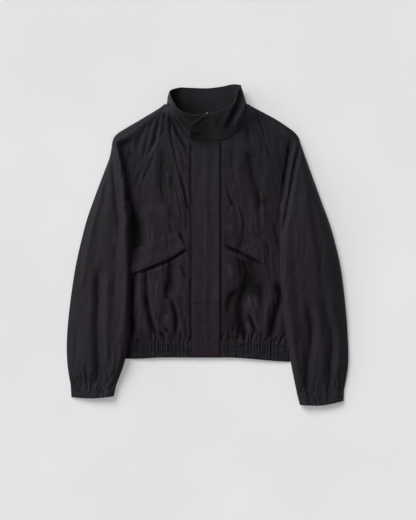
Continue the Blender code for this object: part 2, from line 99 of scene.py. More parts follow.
def runOver(grid, axis):
    # how far each point of a grid is along its row or column
    steps = np.linalg.norm(np.diff(grid, axis=axis), axis=2)
    return np.insert(np.cumsum(steps, axis=axis), 0, 0.0, axis=axis)


def lineAt(keys, points, at):
    return np.column_stack([np.interp(at, keys, column) for column in points.T])


def pathThrough(points, spacing):
    # evenly spaced points on a smooth curve through the given ones
    points = np.asarray(points, float)
    run = runAlong(points)
    count = max(3, int(run[-1] / spacing) + 1)
    return smoothAt(run, points, np.linspace(0, run[-1], count))


def ease(t):
    t = np.clip(t, 0.0, 1.0)
    return t * t * (3 - 2 * t)


def span(at, low, rise, high, fall):
    # 1 between low and high, easing to 0 at both
    return ease((at - low) / rise) * ease((high - at) / fall)


def bell(off, width):
    return np.exp(-(off / width) ** 2)


def blurred(z, reach):
    # weighted running mean over a grid, edges held
    kernel = np.hanning(2 * reach + 3)[1:-1]
    kernel /= kernel.sum()
    for axis in (0, 1):
        z = np.moveaxis(z, axis, 0)
        padded = np.concatenate([z[:1].repeat(reach, 0), z, z[-1:].repeat(reach, 0)])
        z = sum(w * padded[k:k + len(z)] for k, w in enumerate(kernel))
        z = np.moveaxis(z, 0, axis)
    return z


crumpleCells = 97                   # before the relief repeats
crumpleStart = (40.3, 40.7)         # so that no cell ends at the jacket's middle


def crumple(x, y, acrossX, alongY, seed):
    # smooth random relief between -1 and 1, with cells of the given size
    cells = np.random.default_rng(seed).uniform(-1, 1, (crumpleCells, crumpleCells))
    u, v = x / acrossX + crumpleStart[0], y / alongY + crumpleStart[1]
    i, j = np.floor(u).astype(int), np.floor(v).astype(int)
    s, t = ease(u - i), ease(v - j)

    def at(a, b):
        return cells[a % crumpleCells, b % crumpleCells]

    return ((at(i, j) * (1 - s) + at(i + 1, j) * s) * (1 - t)
            + (at(i, j + 1) * (1 - s) + at(i + 1, j + 1) * s) * t)


sideSeams = {   # y, x and height where front and back meet under the sleeve
    right: [(-240, 219, 3.4), (-200, 238, 2.9), (-150, 248, 2.9), (-100, 250, 2.9),
            (-50, 245, 2.9), (0, 232, 2.9), (40, 219, 3.2), (62, 210, 6), (82, 198, 11)],
    left: [(-240, 214, 3.4), (-200, 232, 2.9), (-150, 244, 2.9), (-100, 247, 2.9),
           (-50, 243, 2.9), (0, 231, 2.9), (53, 213, 3.2), (75, 203, 6), (95, 192, 11)],
}
necklines = {   # y and distance from the middle
    right: [(259, 31), (268, 36), (280, 44), (292, 57), (315, 69), (350, 80)],
    left: [(259, 39), (268, 49), (284, 64), (304, 77), (325, 86), (350, 94)],
}
centreHeight = [(-281, 13), (-240, 15), (-210, 19), (-150, 25), (-50, 27), (50, 26), (150, 25),
                (259, 27), (348, 27)]
raglanHeight = [(82, 11), (95, 11.4), (140, 15), (190, 18), (240, 21), (290, 22), (349, 22)]
crown = dict(reach=100.0, power=1.5, soft=25)     # how a front rises inward from its outer edge
neckRises = [(-84, 337, 15, 34), (88, 337, 13, 34)]   # x, y, height, reach beside the collar

# Folds: depth (a ridge is negative), half width or the two towards -X and +X, and their run.
folds = [
    # wearer's right front, from the collar down
    (3.4, 3.6, [(-97, 334), (-94, 304), (-89, 258), (-80, 220), (-73, 192), (-64, 156),
                 (-56, 125), (-45, 72)]),
    (-1.5, 5, [(-92, 300), (-83, 250), (-71, 206), (-62, 172)]),
    (3.4, 3.6, [(-96, 337), (-81, 290), (-64, 258), (-43, 226)]),
    (-1.4, 4, [(-76, 300), (-58, 270), (-42, 246)]),
    (2.2, 3.6, [(-104, 338), (-107, 300), (-114, 262)]),
    (1.6, 3.4, [(-66, 262), (-56, 240), (-46, 205)]),
    (3.4, (11, 16), [(-111, 246), (-114, 190), (-114, 134), (-107, 88)]),
    (-1.4, 12, [(-146, 180), (-142, 130), (-140, 70)]),
    (1.5, 9, [(-90, 176), (-94, 110), (-90, 50)]),
    (-1.4, 9, [(-76, 140), (-74, 100), (-72, 56)]),
    (1.8, 3.4, [(-94, 58), (-91, 38), (-86, 22)]),
    (1.4, 3.4, [(-58, 62), (-54, 46), (-50, 34)]),
    (1.6, 4, [(-62, 118), (-54, 80), (-48, 30)]),
    (9.0, (8, 15), [(-188, 124), (-184, 76), (-178, 30), (-178, -20), (-184, -62)]),
    (8.0, (6, 7), [(-186, -54), (-188, -100), (-190, -150), (-189, -196), (-185, -238)]),
    (5.5, (7, 4.5), [(-149, -50), (-152, -86), (-152, -112), (-150, -140), (-144, -170)]),
    (7.5, (7, 4.5), [(-151, -122), (-146, -166), (-137, -200), (-128, -224), (-121, -242)]),
    (-2.4, 8, [(-168, -90), (-170, -140), (-165, -190), (-158, -224)]),
    (-2.6, 9, [(-126, -80), (-124, -130), (-118, -180)]),
    (8.0, (7, 10), [(-95, -22), (-94, -56), (-96, -88), (-100, -118), (-104, -146)]),
    (7.0, (5, 5), [(-98, -122), (-90, -142), (-82, -164), (-78, -188), (-79, -214), (-80, -244)]),
    (-3.8, 8, [(-99, -168), (-97, -190), (-98, -212)]),
    (2.4, 3.4, [(-69, -46), (-61, -66), (-51, -90)]),
    (2.6, 3.6, [(-58, -172), (-54, -208), (-52, -242)]),
    (2.6, 3.6, [(-114, -198), (-102, -212), (-90, -222)]),
    (2.4, 3.6, [(-118, -206), (-112, -226), (-106, -246)]),
    (1.8, 5, [(-68, -120), (-64, -160), (-66, -196)]),
    (3.6, (3.6, 3.6), [(-52, -12), (-87, -36), (-132, -56), (-176, -74)]),     # under the flap
    (3.4, (3, 4), [(-74, 36), (-64, 16), (-53, -7)]),
    # wearer's left front
    (3.8, (3.8, 3.8), [(38, -3), (69, -15), (101, -31), (138, -51)]),          # under the flap
    (3.0, 4, [(78, 96), (86, 70), (89, 44), (88, 22)]),
    (6.0, (7, 26), [(92, 44), (88, 24), (84, 4), (79, -14), (76, -30)]),
    (-3.0, (14, 7), [(60, 60), (62, 30), (58, 6)]),
    (2.0, 4, [(113, 60), (119, 36), (127, 8)]),
    (9.5, (16, 44), [(76, -14), (88, -44), (96, -70), (97, -96), (90, -122), (84, -150)]),
    (-4.0, (8, 12), [(52, -40), (58, -66), (62, -92)]),
    (4.0, (6, 6), [(80, -104), (68, -116), (56, -132), (50, -152), (46, -176)]),
    (9.0, (24, 10), [(94, -100), (86, -132), (83, -164), (86, -194), (91, -220), (94, -248)]),
    (-2.6, 4, [(73, -190), (70, -212), (68, -240)]),
    (4.5, (6, 4), [(98, -160), (106, -182), (114, -202), (119, -224)]),
    (-3.0, 6, [(100, -190), (106, -212), (106, -232)]),
    (8.5, (12, 7), [(164, -80), (176, -104), (181, -128), (174, -156), (166, -186), (161, -214),
                    (154, -244)]),
    (2.4, 3.6, [(46, 152), (51, 128), (60, 106), (74, 84)]),
    (1.6, 4, [(62, 118), (57, 96), (50, 74)]),
    (3.2, (12, 16), [(100, 244), (106, 192), (122, 134), (136, 80)]),
    (-1.8, 10, [(72, 220), (76, 170), (84, 128)]),
    (-1.8, 10, [(134, 196), (142, 150), (150, 100)]),
    (1.4, 5, [(96, 300), (103, 262), (110, 226)]),
    (2.4, 4, [(144, 14), (150, -8), (152, -34)]),
    (1.6, 4, [(52, 246), (60, 214), (58, 180)]),
    (1.6, 7, [(126, -86), (132, -130), (136, -170)]),
    # right shoulder and upper sleeve
    (4.0, 4, [(-115, 332), (-124, 300), (-131, 262), (-138, 236)]),
    (3.6, 3.8, [(-128, 320), (-138, 300), (-149, 264), (-157, 228), (-162, 202)]),
    (3.2, 3.8, [(-148, 308), (-158, 288), (-169, 256), (-175, 214)]),
    (-1.8, 4, [(-130, 308), (-144, 280), (-154, 252)]),
    (2.0, 3.6, [(-106, 334), (-112, 306), (-119, 286)]),
    (3.4, 4, [(-186, 280), (-191, 252), (-194, 226), (-193, 196)]),
    (-1.8, 4, [(-181, 276), (-183, 236), (-181, 208)]),
    (2.2, 3.6, [(-168, 280), (-179, 244), (-183, 212)]),
    (6.0, (5, 6), [(-238, 236), (-236, 200), (-232, 160), (-228, 120), (-222, 76), (-216, 30), (-213, -10)]),
    (-3.0, 5, [(-225, 250), (-221, 212), (-216, 178), (-211, 146), (-206, 112), (-200, 79), (-194, 46)]),
    (5.0, (4, 6), [(-230, 262), (-222, 246), (-214, 228), (-209, 200), (-203, 172)]),
    (-3.0, (5, 6), [(-240, 218), (-256, 160), (-270, 104), (-284, 50), (-296, 0), (-305, -50), (-314, -112)]),
    (2.2, 9, [(-248, 168), (-258, 100), (-270, 30), (-280, -50)]),
    (-2.0, 12, [(-248, 150), (-246, 90), (-246, 10)]),
    (4.2, (6, 8), [(-264, 256), (-263, 222), (-259, 186), (-256, 150), (-254, 110)]),
    # left shoulder and upper sleeve
    (6.5, 4.2, [(209, 268), (206, 250), (202, 226), (198, 196), (191, 160), (186, 122)]),
    (-3.0, 4.5, [(221, 262), (214, 240), (208, 196), (200, 160), (194, 121), (188, 79), (182, 36)]),
    (7.5, (4, 5), [(232, 256), (226, 230), (217, 196), (210, 158), (202, 118), (195, 76),
                   (187, 36), (182, 4)]),
    (4.5, (6, 34), [(231, 228), (248, 176), (259, 102), (269, 30), (281, -33), (286, -96), (289, -136)]),
    (-2.0, 13, [(236, 130), (244, 70), (252, 10), (258, -60)]),
    (1.8, 5, [(184, 282), (178, 244), (170, 208)]),
    (1.6, 5, [(150, 296), (157, 262), (160, 232)]),
    (3.0, 3.6, [(122, 334), (131, 308), (141, 284), (150, 262)]),
    # right sleeve below the elbow
    (12.5, (9, 10), [(-270, -40), (-272, -90), (-272, -142), (-273, -196), (-273, -244), (-272, -296),
                     (-271, -340), (-270, -372)]),
    (-3.0, 11, [(-250, -80), (-250, -150), (-247, -220), (-250, -290)]),
    (-2.2, 9, [(-294, -150), (-300, -220), (-298, -290)]),
    (4.0, 4, [(-305, -286), (-302, -322), (-299, -364)]),
    (3.2, 3.6, [(-288, -318), (-286, -364)]),
    (4.0, 4, [(-256, -290), (-248, -324), (-243, -364)]),
    (2.0, 7, [(-322, -180), (-327, -250), (-318, -330)]),
    (2.0, 7, [(-226, 10), (-230, -60), (-228, -140)]),
    (2.6, 5, [(-212, -60), (-214, -120), (-217, -170), (-221, -226)]),
    (4.0, 4.5, [(-221, -232), (-225, -280), (-234, -346)]),
    (1.6, 9, [(-298, -60), (-306, -120), (-310, -190)]),
    # left sleeve below the elbow
    (10.0, (8, 7), [(247, -134), (254, -180), (261, -214), (259, -244), (252, -284), (248, -326),
                    (251, -384)]),
    (12.0, (9, 9), [(285, -104), (290, -142), (299, -178), (308, -216), (311, -262), (307, -304), (308, -350),
                    (310, -384)]),
    (-3.0, 10, [(276, -160), (282, -220), (280, -290), (281, -350)]),
    (2.4, 4, [(243, -96), (238, -124)]),
    (2.0, 7, [(218, -30), (222, -100), (228, -170)]),
    (3.0, 4, [(267, -322), (266, -378)]),
    (3.0, 4, [(331, -300), (330, -374)]),
    (3.0, 4.5, [(222, -216), (226, -270), (236, -330)]),
    (1.8, 7, [(318, -90), (326, -160), (334, -230)]),
]

placketGrooves = [    # pressed lines where the fronts run under the placket
    (2.1, (3.6, 2.0), [(-41, 262), (-41.5, 120), (-41, -60), (-41.5, -244)]),
    (1.5, (1.8, 2.8), [(33.5, 262), (33, 120), (33.5, -60), (33, -244)]),
]
drapes = dict(    # slight creases between the folds: depth, half width and length, all uneven
    seed=19, count=128, depth=(0.7, 2.3), width=(1.9, 3.8), long=(30, 120), sway=0.08, bend=0.03,
    valleys=0.7, ridge=-0.8,        # share of valleys, and depth of the ridges among them
    # wearer's side, x and y of the start from ... to, and how far the run leans from straight down
    places=((right, (46, 120), (-190, 250), -0.20), (right, (110, 190), (-190, 80), 0.02),
            (left, (40, 120), (-190, 250), 0.20), (left, (110, 185), (-190, 150), 0.10),
            (right, (205, 330), (-330, 60), 0.05), (left, (200, 330), (-340, 60), -0.05),
            (right, (120, 200), (190, 300), 0.34), (left, (120, 200), (190, 300), 0.34)),
)
gathers = dict(   # elastic: pitch between the smallest and the largest, height either way
    pitch=(4.2, 8.6), height=0.95, bandMiddleY=-267.5, valley=0.65, waistFade=10.0, cuffFade=9.0,
    pull=1.1,         # how much the fronts rise and sink above the band
)
puckers = dict(   # short creases above the elastic; each side's run is from the middle or at the cuff
    seed=11, width=(2.2, 3.8),
    waist=dict(count=22, depth=(1.6, 4.2), long=(12, 46), stray=3.5, fan=0.45, shoulder=180,
               runs=((right, 44, 186), (left, 37, 182))),
    cuff=dict(count=15, depth=(2.0, 4.8), long=(14, 46), stray=2.5, fan=0.25, sway=0.06,
              runs=((right, 232, 338), (left, 230, 338))),
)
cuffSeamY = {right: -351.0, left: -366.0}
foldShape = dict(
    spacing=7.0, reach=3.4,                 # of its path's points, and where it ends, in half widths
    lean=0.14, uneven=0.18,
    longestEnd=0.34, end=14, endByDepth=4,  # how it fades out at either end
    roundness=0.015, power=0.58, shoulder=(0.14, 1.6, 2.1),
    # how deep a fold gives full painted shade, how wide that shade is, and its greatest amount
    shadeDepth=9, shadeWidth=1.1, deepest=1.2,
)


def foldRelief(x, y, paths, shade=None):
    # what the folds add to the height at points x, y; shade gathers how far inside a fold they are, for the
    # painted shade of the cloth's colour
    shape, make = np.shape(x), foldShape
    spots = np.stack([np.ravel(x), np.ravel(y)], 1).astype(float)
    z, inside = np.zeros(len(spots)), np.zeros(len(spots))
    for number, (depth, width, points) in enumerate(paths):
        way = pathThrough(points, make["spacing"])
        narrow, wide = width if isinstance(width, tuple) else (width, width)
        reach = make["reach"] * max(narrow, wide)
        near = np.where(((spots > way.min(0) - reach) & (spots < way.max(0) + reach)).all(1))[0]
        if not len(near):
            continue
        start, run = way[:-1], np.diff(way, axis=0)
        length = np.linalg.norm(run, axis=1)
        here = spots[near][:, None] - start
        t = np.clip((here * run).sum(2) / length ** 2, 0, 1)
        off = np.linalg.norm(here - t[..., None] * run, axis=2)
        k, rows = off.argmin(1), np.arange(len(near))
        turn = run[k, 0] * here[rows, k, 1] - run[k, 1] * here[rows, k, 0]
        along = (k + t[rows, k]) / len(run)
        lean = make["lean"] * math.sin(2.3 * number + 1)
        u = off[rows, k] / np.where(turn > 0, wide * (1 + lean), narrow * (1 - lean))
        uneven = 1 - make["uneven"] + make["uneven"] * np.sin(9 * along + 1.7 * number)
        end = min(make["longestEnd"], (make["end"] + make["endByDepth"] * abs(depth)) / length.sum())
        fade = span(along, 0, end, 1, end) * uneven
        valley = np.exp(-np.power(u * u + make["roundness"], make["power"]))
        rise, narrowness, out = make["shoulder"]
        z[near] += -depth * fade * (valley - rise * np.exp(-narrowness * (u - out) ** 2))
        deep = np.clip(depth / make["shadeDepth"], 0, make["deepest"])
        inside[near] += deep * fade * bell(u, make["shadeWidth"])
    if shade is not None:
        shade += inside.reshape(shape)
    return z.reshape(shape)


def gatherEdges(low, high, seed):
    # where the gathers of an elastic meet, along x
    rng = np.random.default_rng(seed)
    edges = [low]
    while edges[-1] < high:
        edges.append(edges[-1] + rng.uniform(*gathers["pitch"]))
    return np.array(edges)


def gathered(x, edges):
    # rounded ridges with narrow valleys, -1 to 1
    phase = np.interp(x, edges, np.arange(len(edges)))
    return 2 * np.abs(np.sin(np.pi * phase)) ** gathers["valley"] - 1


def drapeCreases():
    rng = np.random.default_rng(drapes["seed"])
    found = []
    for k in range(drapes["count"]):
        side, across, down, lean = drapes["places"][k % len(drapes["places"])]
        x, y = rng.uniform(*across), rng.uniform(*down)
        long = rng.uniform(*drapes["long"])
        slope = lean + rng.normal(0, drapes["sway"])
        bend = rng.normal(0, drapes["bend"]) * long
        points = [(side * x, y), (side * (x + slope * long / 2) + bend, y - long / 2),
                  (side * (x + slope * long), y - long)]
        depth = rng.uniform(*drapes["depth"]) * (1 if rng.uniform() < drapes["valleys"] else drapes["ridge"])
        found.append((depth, rng.uniform(*drapes["width"]), points))
    return found


def waistPuckers():
    rng, make, waistY = np.random.default_rng(puckers["seed"]), puckers["waist"], jacket["waistY"]
    found = []
    for side, begin, end in make["runs"]:
        for spot in np.linspace(begin, end, make["count"]):
            x = side * (spot + rng.uniform(-make["stray"], make["stray"]))
            long = rng.uniform(*make["long"]) * rng.uniform(0.5, 1)
            fan = make["fan"] * (spot / make["shoulder"]) ** 2 if side == left else 0.0
            slant = rng.uniform(-0.15, 0.25) + fan
            found.append((rng.uniform(*make["depth"]), rng.uniform(*puckers["width"]),
                          [(x, waistY - 12), (x + 1, waistY), (x + slant * long, waistY + long)]))
    return found


def sleevePuckers():
    # short creases fanning up from each cuff
    rng, make = np.random.default_rng(puckers["seed"] + 3), puckers["cuff"]
    found = []
    for side, inner, outer in make["runs"]:
        seamY = cuffSeamY[side]
        for spot in np.linspace(inner + 4, outer - 6, make["count"]):
            x = spot + rng.uniform(-make["stray"], make["stray"])
            long = rng.uniform(*make["long"])
            fan = make["fan"] * (spot - (inner + outer) / 2) / 50 + rng.normal(0, make["sway"])
            found.append((rng.uniform(*make["depth"]), rng.uniform(*puckers["width"]), [
                (side * x, seamY - 10), (side * (x + 0.3 * fan * long), seamY + 0.3 * long),
                (side * (x + fan * long), seamY + long)]))
    return found


waistEdges = gatherEdges(-226, 226, 5)
hemEdges = gatherEdges(-228, 226, 6)
upperFolds = folds + waistPuckers() + drapeCreases() + sleevePuckers() + placketGrooves


unevenness = dict(warp=9, long=0.7, broad=0.3, fine=0.16)      # heights of the random creases


def alike(x, y):
    # both as numbers of one shape
    return np.broadcast_arrays(np.asarray(x, float), np.asarray(y, float))


def relief(x, y):
    # all that the upper cloth rises or sinks from its plain height
    x, y = alike(x, y)
    make = unevenness
    warpX = x + make["warp"] * crumple(x, y, 70, 90, 3)
    z = foldRelief(x, y, upperFolds)
    z = z + make["long"] * crumple(warpX, y, 13, 74, 21) + make["broad"] * crumple(x, y + 0.4 * x, 24, 26, 22)
    z = z + make["fine"] * crumple(warpX, y - 0.3 * x, 7, 22, 23)
    for riseX, riseY, height, reach in neckRises:
        z = z + height * np.exp(-((x - riseX) ** 2 + (y - riseY) ** 2) / reach ** 2)
    return z


def underPlacket(x):
    return (x > placketCut["outerX"]) & (x < placketCut["innerX"])


def waistPull(x, y):
    # the fronts drawn in above the waistband, not under the placket
    off = np.minimum(np.abs(x - placketCut["outerX"]), np.abs(x - placketCut["innerX"]))
    flat = np.where(underPlacket(x), 0.0, ease(off / 8))
    pull = np.exp(-np.clip(y - jacket["waistY"], 0, None) / gathers["waistFade"])
    return gathers["pull"] * pull * gathered(x, waistEdges) * flat


edgeLines = {}    # for each side: y rising, x from the middle, height


def frontEdge(side, y):
    line = edgeLines[side]
    return np.interp(y, line[:, 0], line[:, 1]), np.interp(y, line[:, 0], line[:, 2])


def easyEdge(side, y, reach=34.0):
    # the same edge without its turn at the underarm, for the height of the front
    parts = [frontEdge(side, y + reach * k) for k in (-1, -0.66, -0.33, 0, 0.33, 0.66, 1)]
    weights = (1, 2, 3, 3, 3, 2, 1)
    return [sum(w * part[k] for w, part in zip(weights, parts)) / sum(weights) for k in (0, 1)]


def hemDrop(grid):
    # the hem hangs lower towards the wearer's left
    x, y = grid[..., 0], grid[..., 1]
    low = np.interp(y, (-281, -240, -110), (1.0, 0.6, 0.0))
    toLeft, toRight = ease((x - 45) / 165), ease((-x - 110) / 70)
    grid[..., 1] = y - low * (jacket["lowLeft"] * toLeft + jacket["lowRight"] * toRight)
    return grid


def seamHold(side, y):
    # how much of the folds reaches the outer seam: none under the sleeve
    return ease((y - sideSeams[side][-1][0]) / 24 + 0.2)


def frontHeight(side, x, y):
    # middle of a front's cloth
    x, y = alike(x, y)
    edgeX, edgeZ = easyEdge(side, y)
    inward = np.clip(edgeX - side * x, 0, None)
    share = 1 - (1 - np.minimum(inward / crown["reach"], 1)) ** crown["power"]
    hold = seamHold(side, y)
    soft = hold + (1 - hold) * np.minimum(1, inward / crown["soft"])
    z = edgeZ + (tableAt(centreHeight, y) - edgeZ) * share + (relief(x, y) + waistPull(x, y)) * soft
    return np.maximum(z, jacket["lowest"])


def eitherFront(x, y):
    return np.where(x < jacket["centreX"], frontHeight(right, x, y), frontHeight(left, x, y))


def bandHeight(x, y):
    x, y = alike(x, y)
    drop = (jacket["waistY"] - y) / (jacket["waistY"] - jacket["hemY"])
    return eitherFront(x, np.full(x.shape, jacket["waistY"] - 4.0)) * (1 - jacket["bandFall"] * drop)


def surface(x, y):
    # the fronts, and the waistband below them
    x, y = alike(x, y)
    return np.where(y < jacket["waistY"], bandHeight(x, y), eitherFront(x, y))


def bodyTop(side, x, y):
    # upper face of what lies under a sleeve
    edgeX, edgeZ = frontEdge(side, max(y, jacket["waistY"]))
    if x >= edgeX:
        return float(edgeZ) + jacket["solidWall"] / 2
    if y < jacket["waistY"]:
        return float(bandHeight(side * x, y)) + jacket["solidWall"] / 2 + 0.9
    return float(frontHeight(side, side * x, y)) + jacket["solidWall"] / 2


# painted light on the cloth: painted shade in its creases and a painted highlight on its ridges, at three
# sizes
paintedLightSettings = dict(sizes=((0.35, 3, 0.8), (0.45, 8, 2.2), (0.45, 17, 4.6)),      # weight, reach and height
              folds=0.62, pressedShade=1.8)      # how much more painted shade in the folds and the pressed lines


def paintedLightOf(height):
    # 0 in the creases, 1 on the ridges, from three sizes of crease: painted shade in the creases and a
    # painted highlight on the ridges
    raised = sum(weight * (height - blurred(height, reach)) / size for weight, reach, size in paintedLightSettings["sizes"])
    return 0.5 + 0.5 * np.tanh(raised)


def paintedLightWithFoldShade(grid, folded=1.0):
    # painted light on the upper cloth, with more painted shade inside the folds and the pressed lines
    x, y = grid[..., 0], grid[..., 1]
    shade, pressedShade = np.zeros(x.shape), np.zeros(x.shape)
    foldRelief(x, y, folds, shade)
    foldRelief(x, y, placketGrooves, pressedShade)
    paintedLight = 0.5 + (paintedLightOf(grid[..., 2]) - 0.5) * folded
    return np.clip(paintedLight - paintedLightSettings["folds"] * (shade + paintedLightSettings["pressedShade"] * pressedShade) * folded, 0, 1)


def gridNormals(grid):
    normal = np.cross(np.gradient(grid, axis=0), np.gradient(grid, axis=1))
    return normal / np.maximum(np.linalg.norm(normal, axis=2, keepdims=True), 1e-9)


def wallMesh(name, grid, wall, cloth, soft=("first", "last", "start", "stop"), upward=True,
             paintedLight=None, under=0.5):
    # one closed wall of cloth round a grid of middle points; its rims are thinner where soft
    grid = np.asarray(grid, float)
    # painted light on the upper side, 0 for painted shade and 1 for a painted highlight, from the relief
    # unless given; under: the same for the lower side
    paintedLight = paintedLightOf(grid[..., 2]) if paintedLight is None else paintedLight
    under = under + np.zeros(paintedLight.shape)
    n, m = grid.shape[:2]
    normal = gridNormals(grid)
    turned = (normal[..., 2].mean() < 0) == upward
    if turned:
        grid, normal, paintedLight, under = grid[:, ::-1], -normal[:, ::-1], paintedLight[:, ::-1], under[:, ::-1]
        soft = [{"start": "stop", "stop": "start"}.get(edge, edge) for edge in soft]
    half = np.full((n, m), wall / 2)
    for edge in soft:
        line = {"first": half[0], "last": half[-1], "start": half[:, 0], "stop": half[:, -1]}[edge]
        line *= jacket["rim"]
    outer = grid + normal * half[..., None]
    inner = grid - normal * half[..., None]
    points = np.concatenate([outer.reshape(-1, 3), inner.reshape(-1, 3)]) * mm
    at = np.arange(n * m).reshape(n, m)
    quad = np.stack([at[:-1, :-1], at[1:, :-1], at[1:, 1:], at[:-1, 1:]], 2).reshape(-1, 4)
    around = np.concatenate([at[:, 0], at[-1, 1:], at[-2::-1, -1], at[0, -2:0:-1]])
    following = np.roll(around, -1)
    rims = np.stack([following, around, around + n * m, following + n * m], 1)
    faces = np.concatenate([quad, quad[:, ::-1] + n * m, rims])
    a, b, c, d = points[faces].transpose(1, 0, 2)
    if (np.cross(a, b) * c).sum() + (np.cross(a, c) * d).sum() < 0:     # inside out
        faces = faces[:, [0, 3, 2, 1]]
    mesh = bpy.data.meshes.new(name)
    mesh.from_pydata(points.tolist(), [], faces.tolist())
    across = runOver(grid, 1)
    plan = np.stack([across - across.mean(1, keepdims=True), runOver(grid, 0)], 2).reshape(-1, 2) * mm
    plan = np.concatenate([plan, plan])
    uv = mesh.uv_layers.new(name="cut")
    loops = np.empty(len(mesh.loops), int)
    mesh.loops.foreach_get("vertex_index", loops)
    uv.data.foreach_set("uv", plan[loops].ravel())
    layer = mesh.attributes.new("paintedLight", "FLOAT", "POINT")
    layer.data.foreach_set("value", np.concatenate([paintedLight.ravel(), under.ravel()]))
    mesh.shade_smooth()
    mesh.set_sharp_from_angle(angle=math.radians(jacket["crease"]))
    mesh.update()
    mesh.materials.append(cloth)
    if turned:
        outer, normal = outer[:, ::-1], normal[:, ::-1]
    return addObject(name, mesh), outer, normal


def addObject(name, data):
    made = bpy.data.objects.new(name, data)
    bpy.context.scene.collection.objects.link(made)
    return made


# where stitches, and the zip's coil and stop, run: lines over the cloth
seams = {kind: [] for kind in ("cloth", "elastic", "collar", "coil", "stop")}


def sewAlong(kind, outer, normal, wall, rows, columns, lift=0.12):
    # a line of stitches along rows and columns of a wall, on its upper side
    rows, columns = np.broadcast_arrays(rows, columns)
    low = np.floor(columns).astype(int)
    part = (columns - low)[:, None]
    spots = outer[rows, low] * (1 - part) + outer[rows, low + (part[:, 0] > 0)] * part
    way = normal[rows, low]
    below = way[:, 2:] < 0
    spots = spots - np.where(below, wall, 0.0) * way
    seams[kind].append(spots + np.where(below, -way, way) * lift)


def newGroup(name, kind, takes, gives):
    # an empty group with named inputs and outputs, and their sockets inside it
    group = bpy.data.node_groups.new(name, kind)
    for way, sockets in (("INPUT", takes), ("OUTPUT", gives)):
        for socket, sort, *value in sockets:
            made = group.interface.new_socket(name=socket, in_out=way, socket_type="NodeSocket" + sort)
            if value:
                made.default_value = value[0]
    return group, group.nodes.new("NodeGroupInput").outputs, group.nodes.new("NodeGroupOutput")


def feed(tree, node, inputs):
    # each input takes a value, a socket, or a node's first output
    for key, value in inputs.items():
        if isinstance(value, bpy.types.Node):
            value = value.outputs[0]
        if isinstance(value, bpy.types.NodeSocket):
            tree.links.new(value, node.inputs[key])
        else:
            node.inputs[key].default_value = value


def addNode(tree, kind, inputs=None, **settings):
    made = tree.nodes.new(kind)
    for key, value in settings.items():
        setattr(made, key, value)
    feed(tree, made, inputs or {})
    return made


def weaveGroup():
    # plain weave: threads over and under each other, with uneven yarn
    group, entry, leave = newGroup("plainWeave", "ShaderNodeTree",
                                   (("Place", "Vector"), ("Threads", "Float", 1800.0)),
                                   (("Height", "Float"), ("Yarn", "Float")))
    scaled = addNode(group, "ShaderNodeVectorMath", {0: entry["Place"], "Scale": entry["Threads"]},
                     operation="SCALE")
    parts = addNode(group, "ShaderNodeSeparateXYZ", {0: scaled})
    waves = []
    for axis in ("X", "Y"):
        turn = addNode(group, "ShaderNodeMath", {0: parts.outputs[axis], 1: math.pi}, operation="MULTIPLY")
        waves.append(addNode(group, "ShaderNodeMath", {0: turn}, operation="SINE"))
    over = addNode(group, "ShaderNodeMath", dict(enumerate(waves)), operation="MULTIPLY")
    stretch = addNode(group, "ShaderNodeVectorMath", {0: scaled, 1: (1.0, 0.06, 1.0)}, operation="MULTIPLY")
    yarn = addNode(group, "ShaderNodeTexNoise", {"Vector": stretch, "Scale": 0.35, "Detail": 2.0})
    total = addNode(group, "ShaderNodeMath", {0: over, 1: 0.5, 2: yarn.outputs["Fac"]},
                    operation="MULTIPLY_ADD")
    feed(group, leave, {"Height": total, "Yarn": yarn.outputs["Fac"]})
    return group


def dyeAndPaintedLightGroup():
    # painted light, shade in the creases and highlight on the ridges, and the slow clouds of its dye round
    # the middle of the body
    group, entry, leave = newGroup("clothDyeAndPaintedLight", "ShaderNodeTree",
                                   (("Cloud size", "Float", 9.0), ("Spread", "Float", 0.37)),
                                   (("Dye", "Float"), ("Worn", "Float")))
    place = addNode(group, "ShaderNodeTexCoord").outputs["Object"]
    cloud = addNode(group, "ShaderNodeTexNoise", {"Vector": place, "Scale": entry["Cloud size"],
                                                  "Detail": 3.0, "Roughness": 0.55})
    heart = addNode(group, "ShaderNodeVectorMath", {0: place, 1: (0.0, -0.12, 0.03)}, operation="DISTANCE")
    fading = addNode(group, "ShaderNodeMapRange", {
        "Value": heart.outputs["Value"], "From Min": 0.15, "From Max": entry["Spread"],
        "To Min": 0.62, "To Max": 0.0})
    both = addNode(group, "ShaderNodeMath", {0: cloud.outputs["Fac"], 1: 0.9, 2: fading.outputs["Result"]},
                   operation="MULTIPLY_ADD")
    dye = addNode(group, "ShaderNodeMapRange", {"Value": both, "From Min": 0.4, "From Max": 1.0})
    paintedLight = addNode(group, "ShaderNodeAttribute", attribute_name="paintedLight")
    feed(group, leave, {"Dye": dye.outputs["Result"], "Worn": paintedLight.outputs["Fac"]})
    return group


weave, dyeAndPaintedLight = weaveGroup(), dyeAndPaintedLightGroup()


def newMaterial(name):
    made = bpy.data.materials.new(name)
    made.use_nodes = True
    return made, made.node_tree, made.node_tree.nodes["Principled BSDF"]


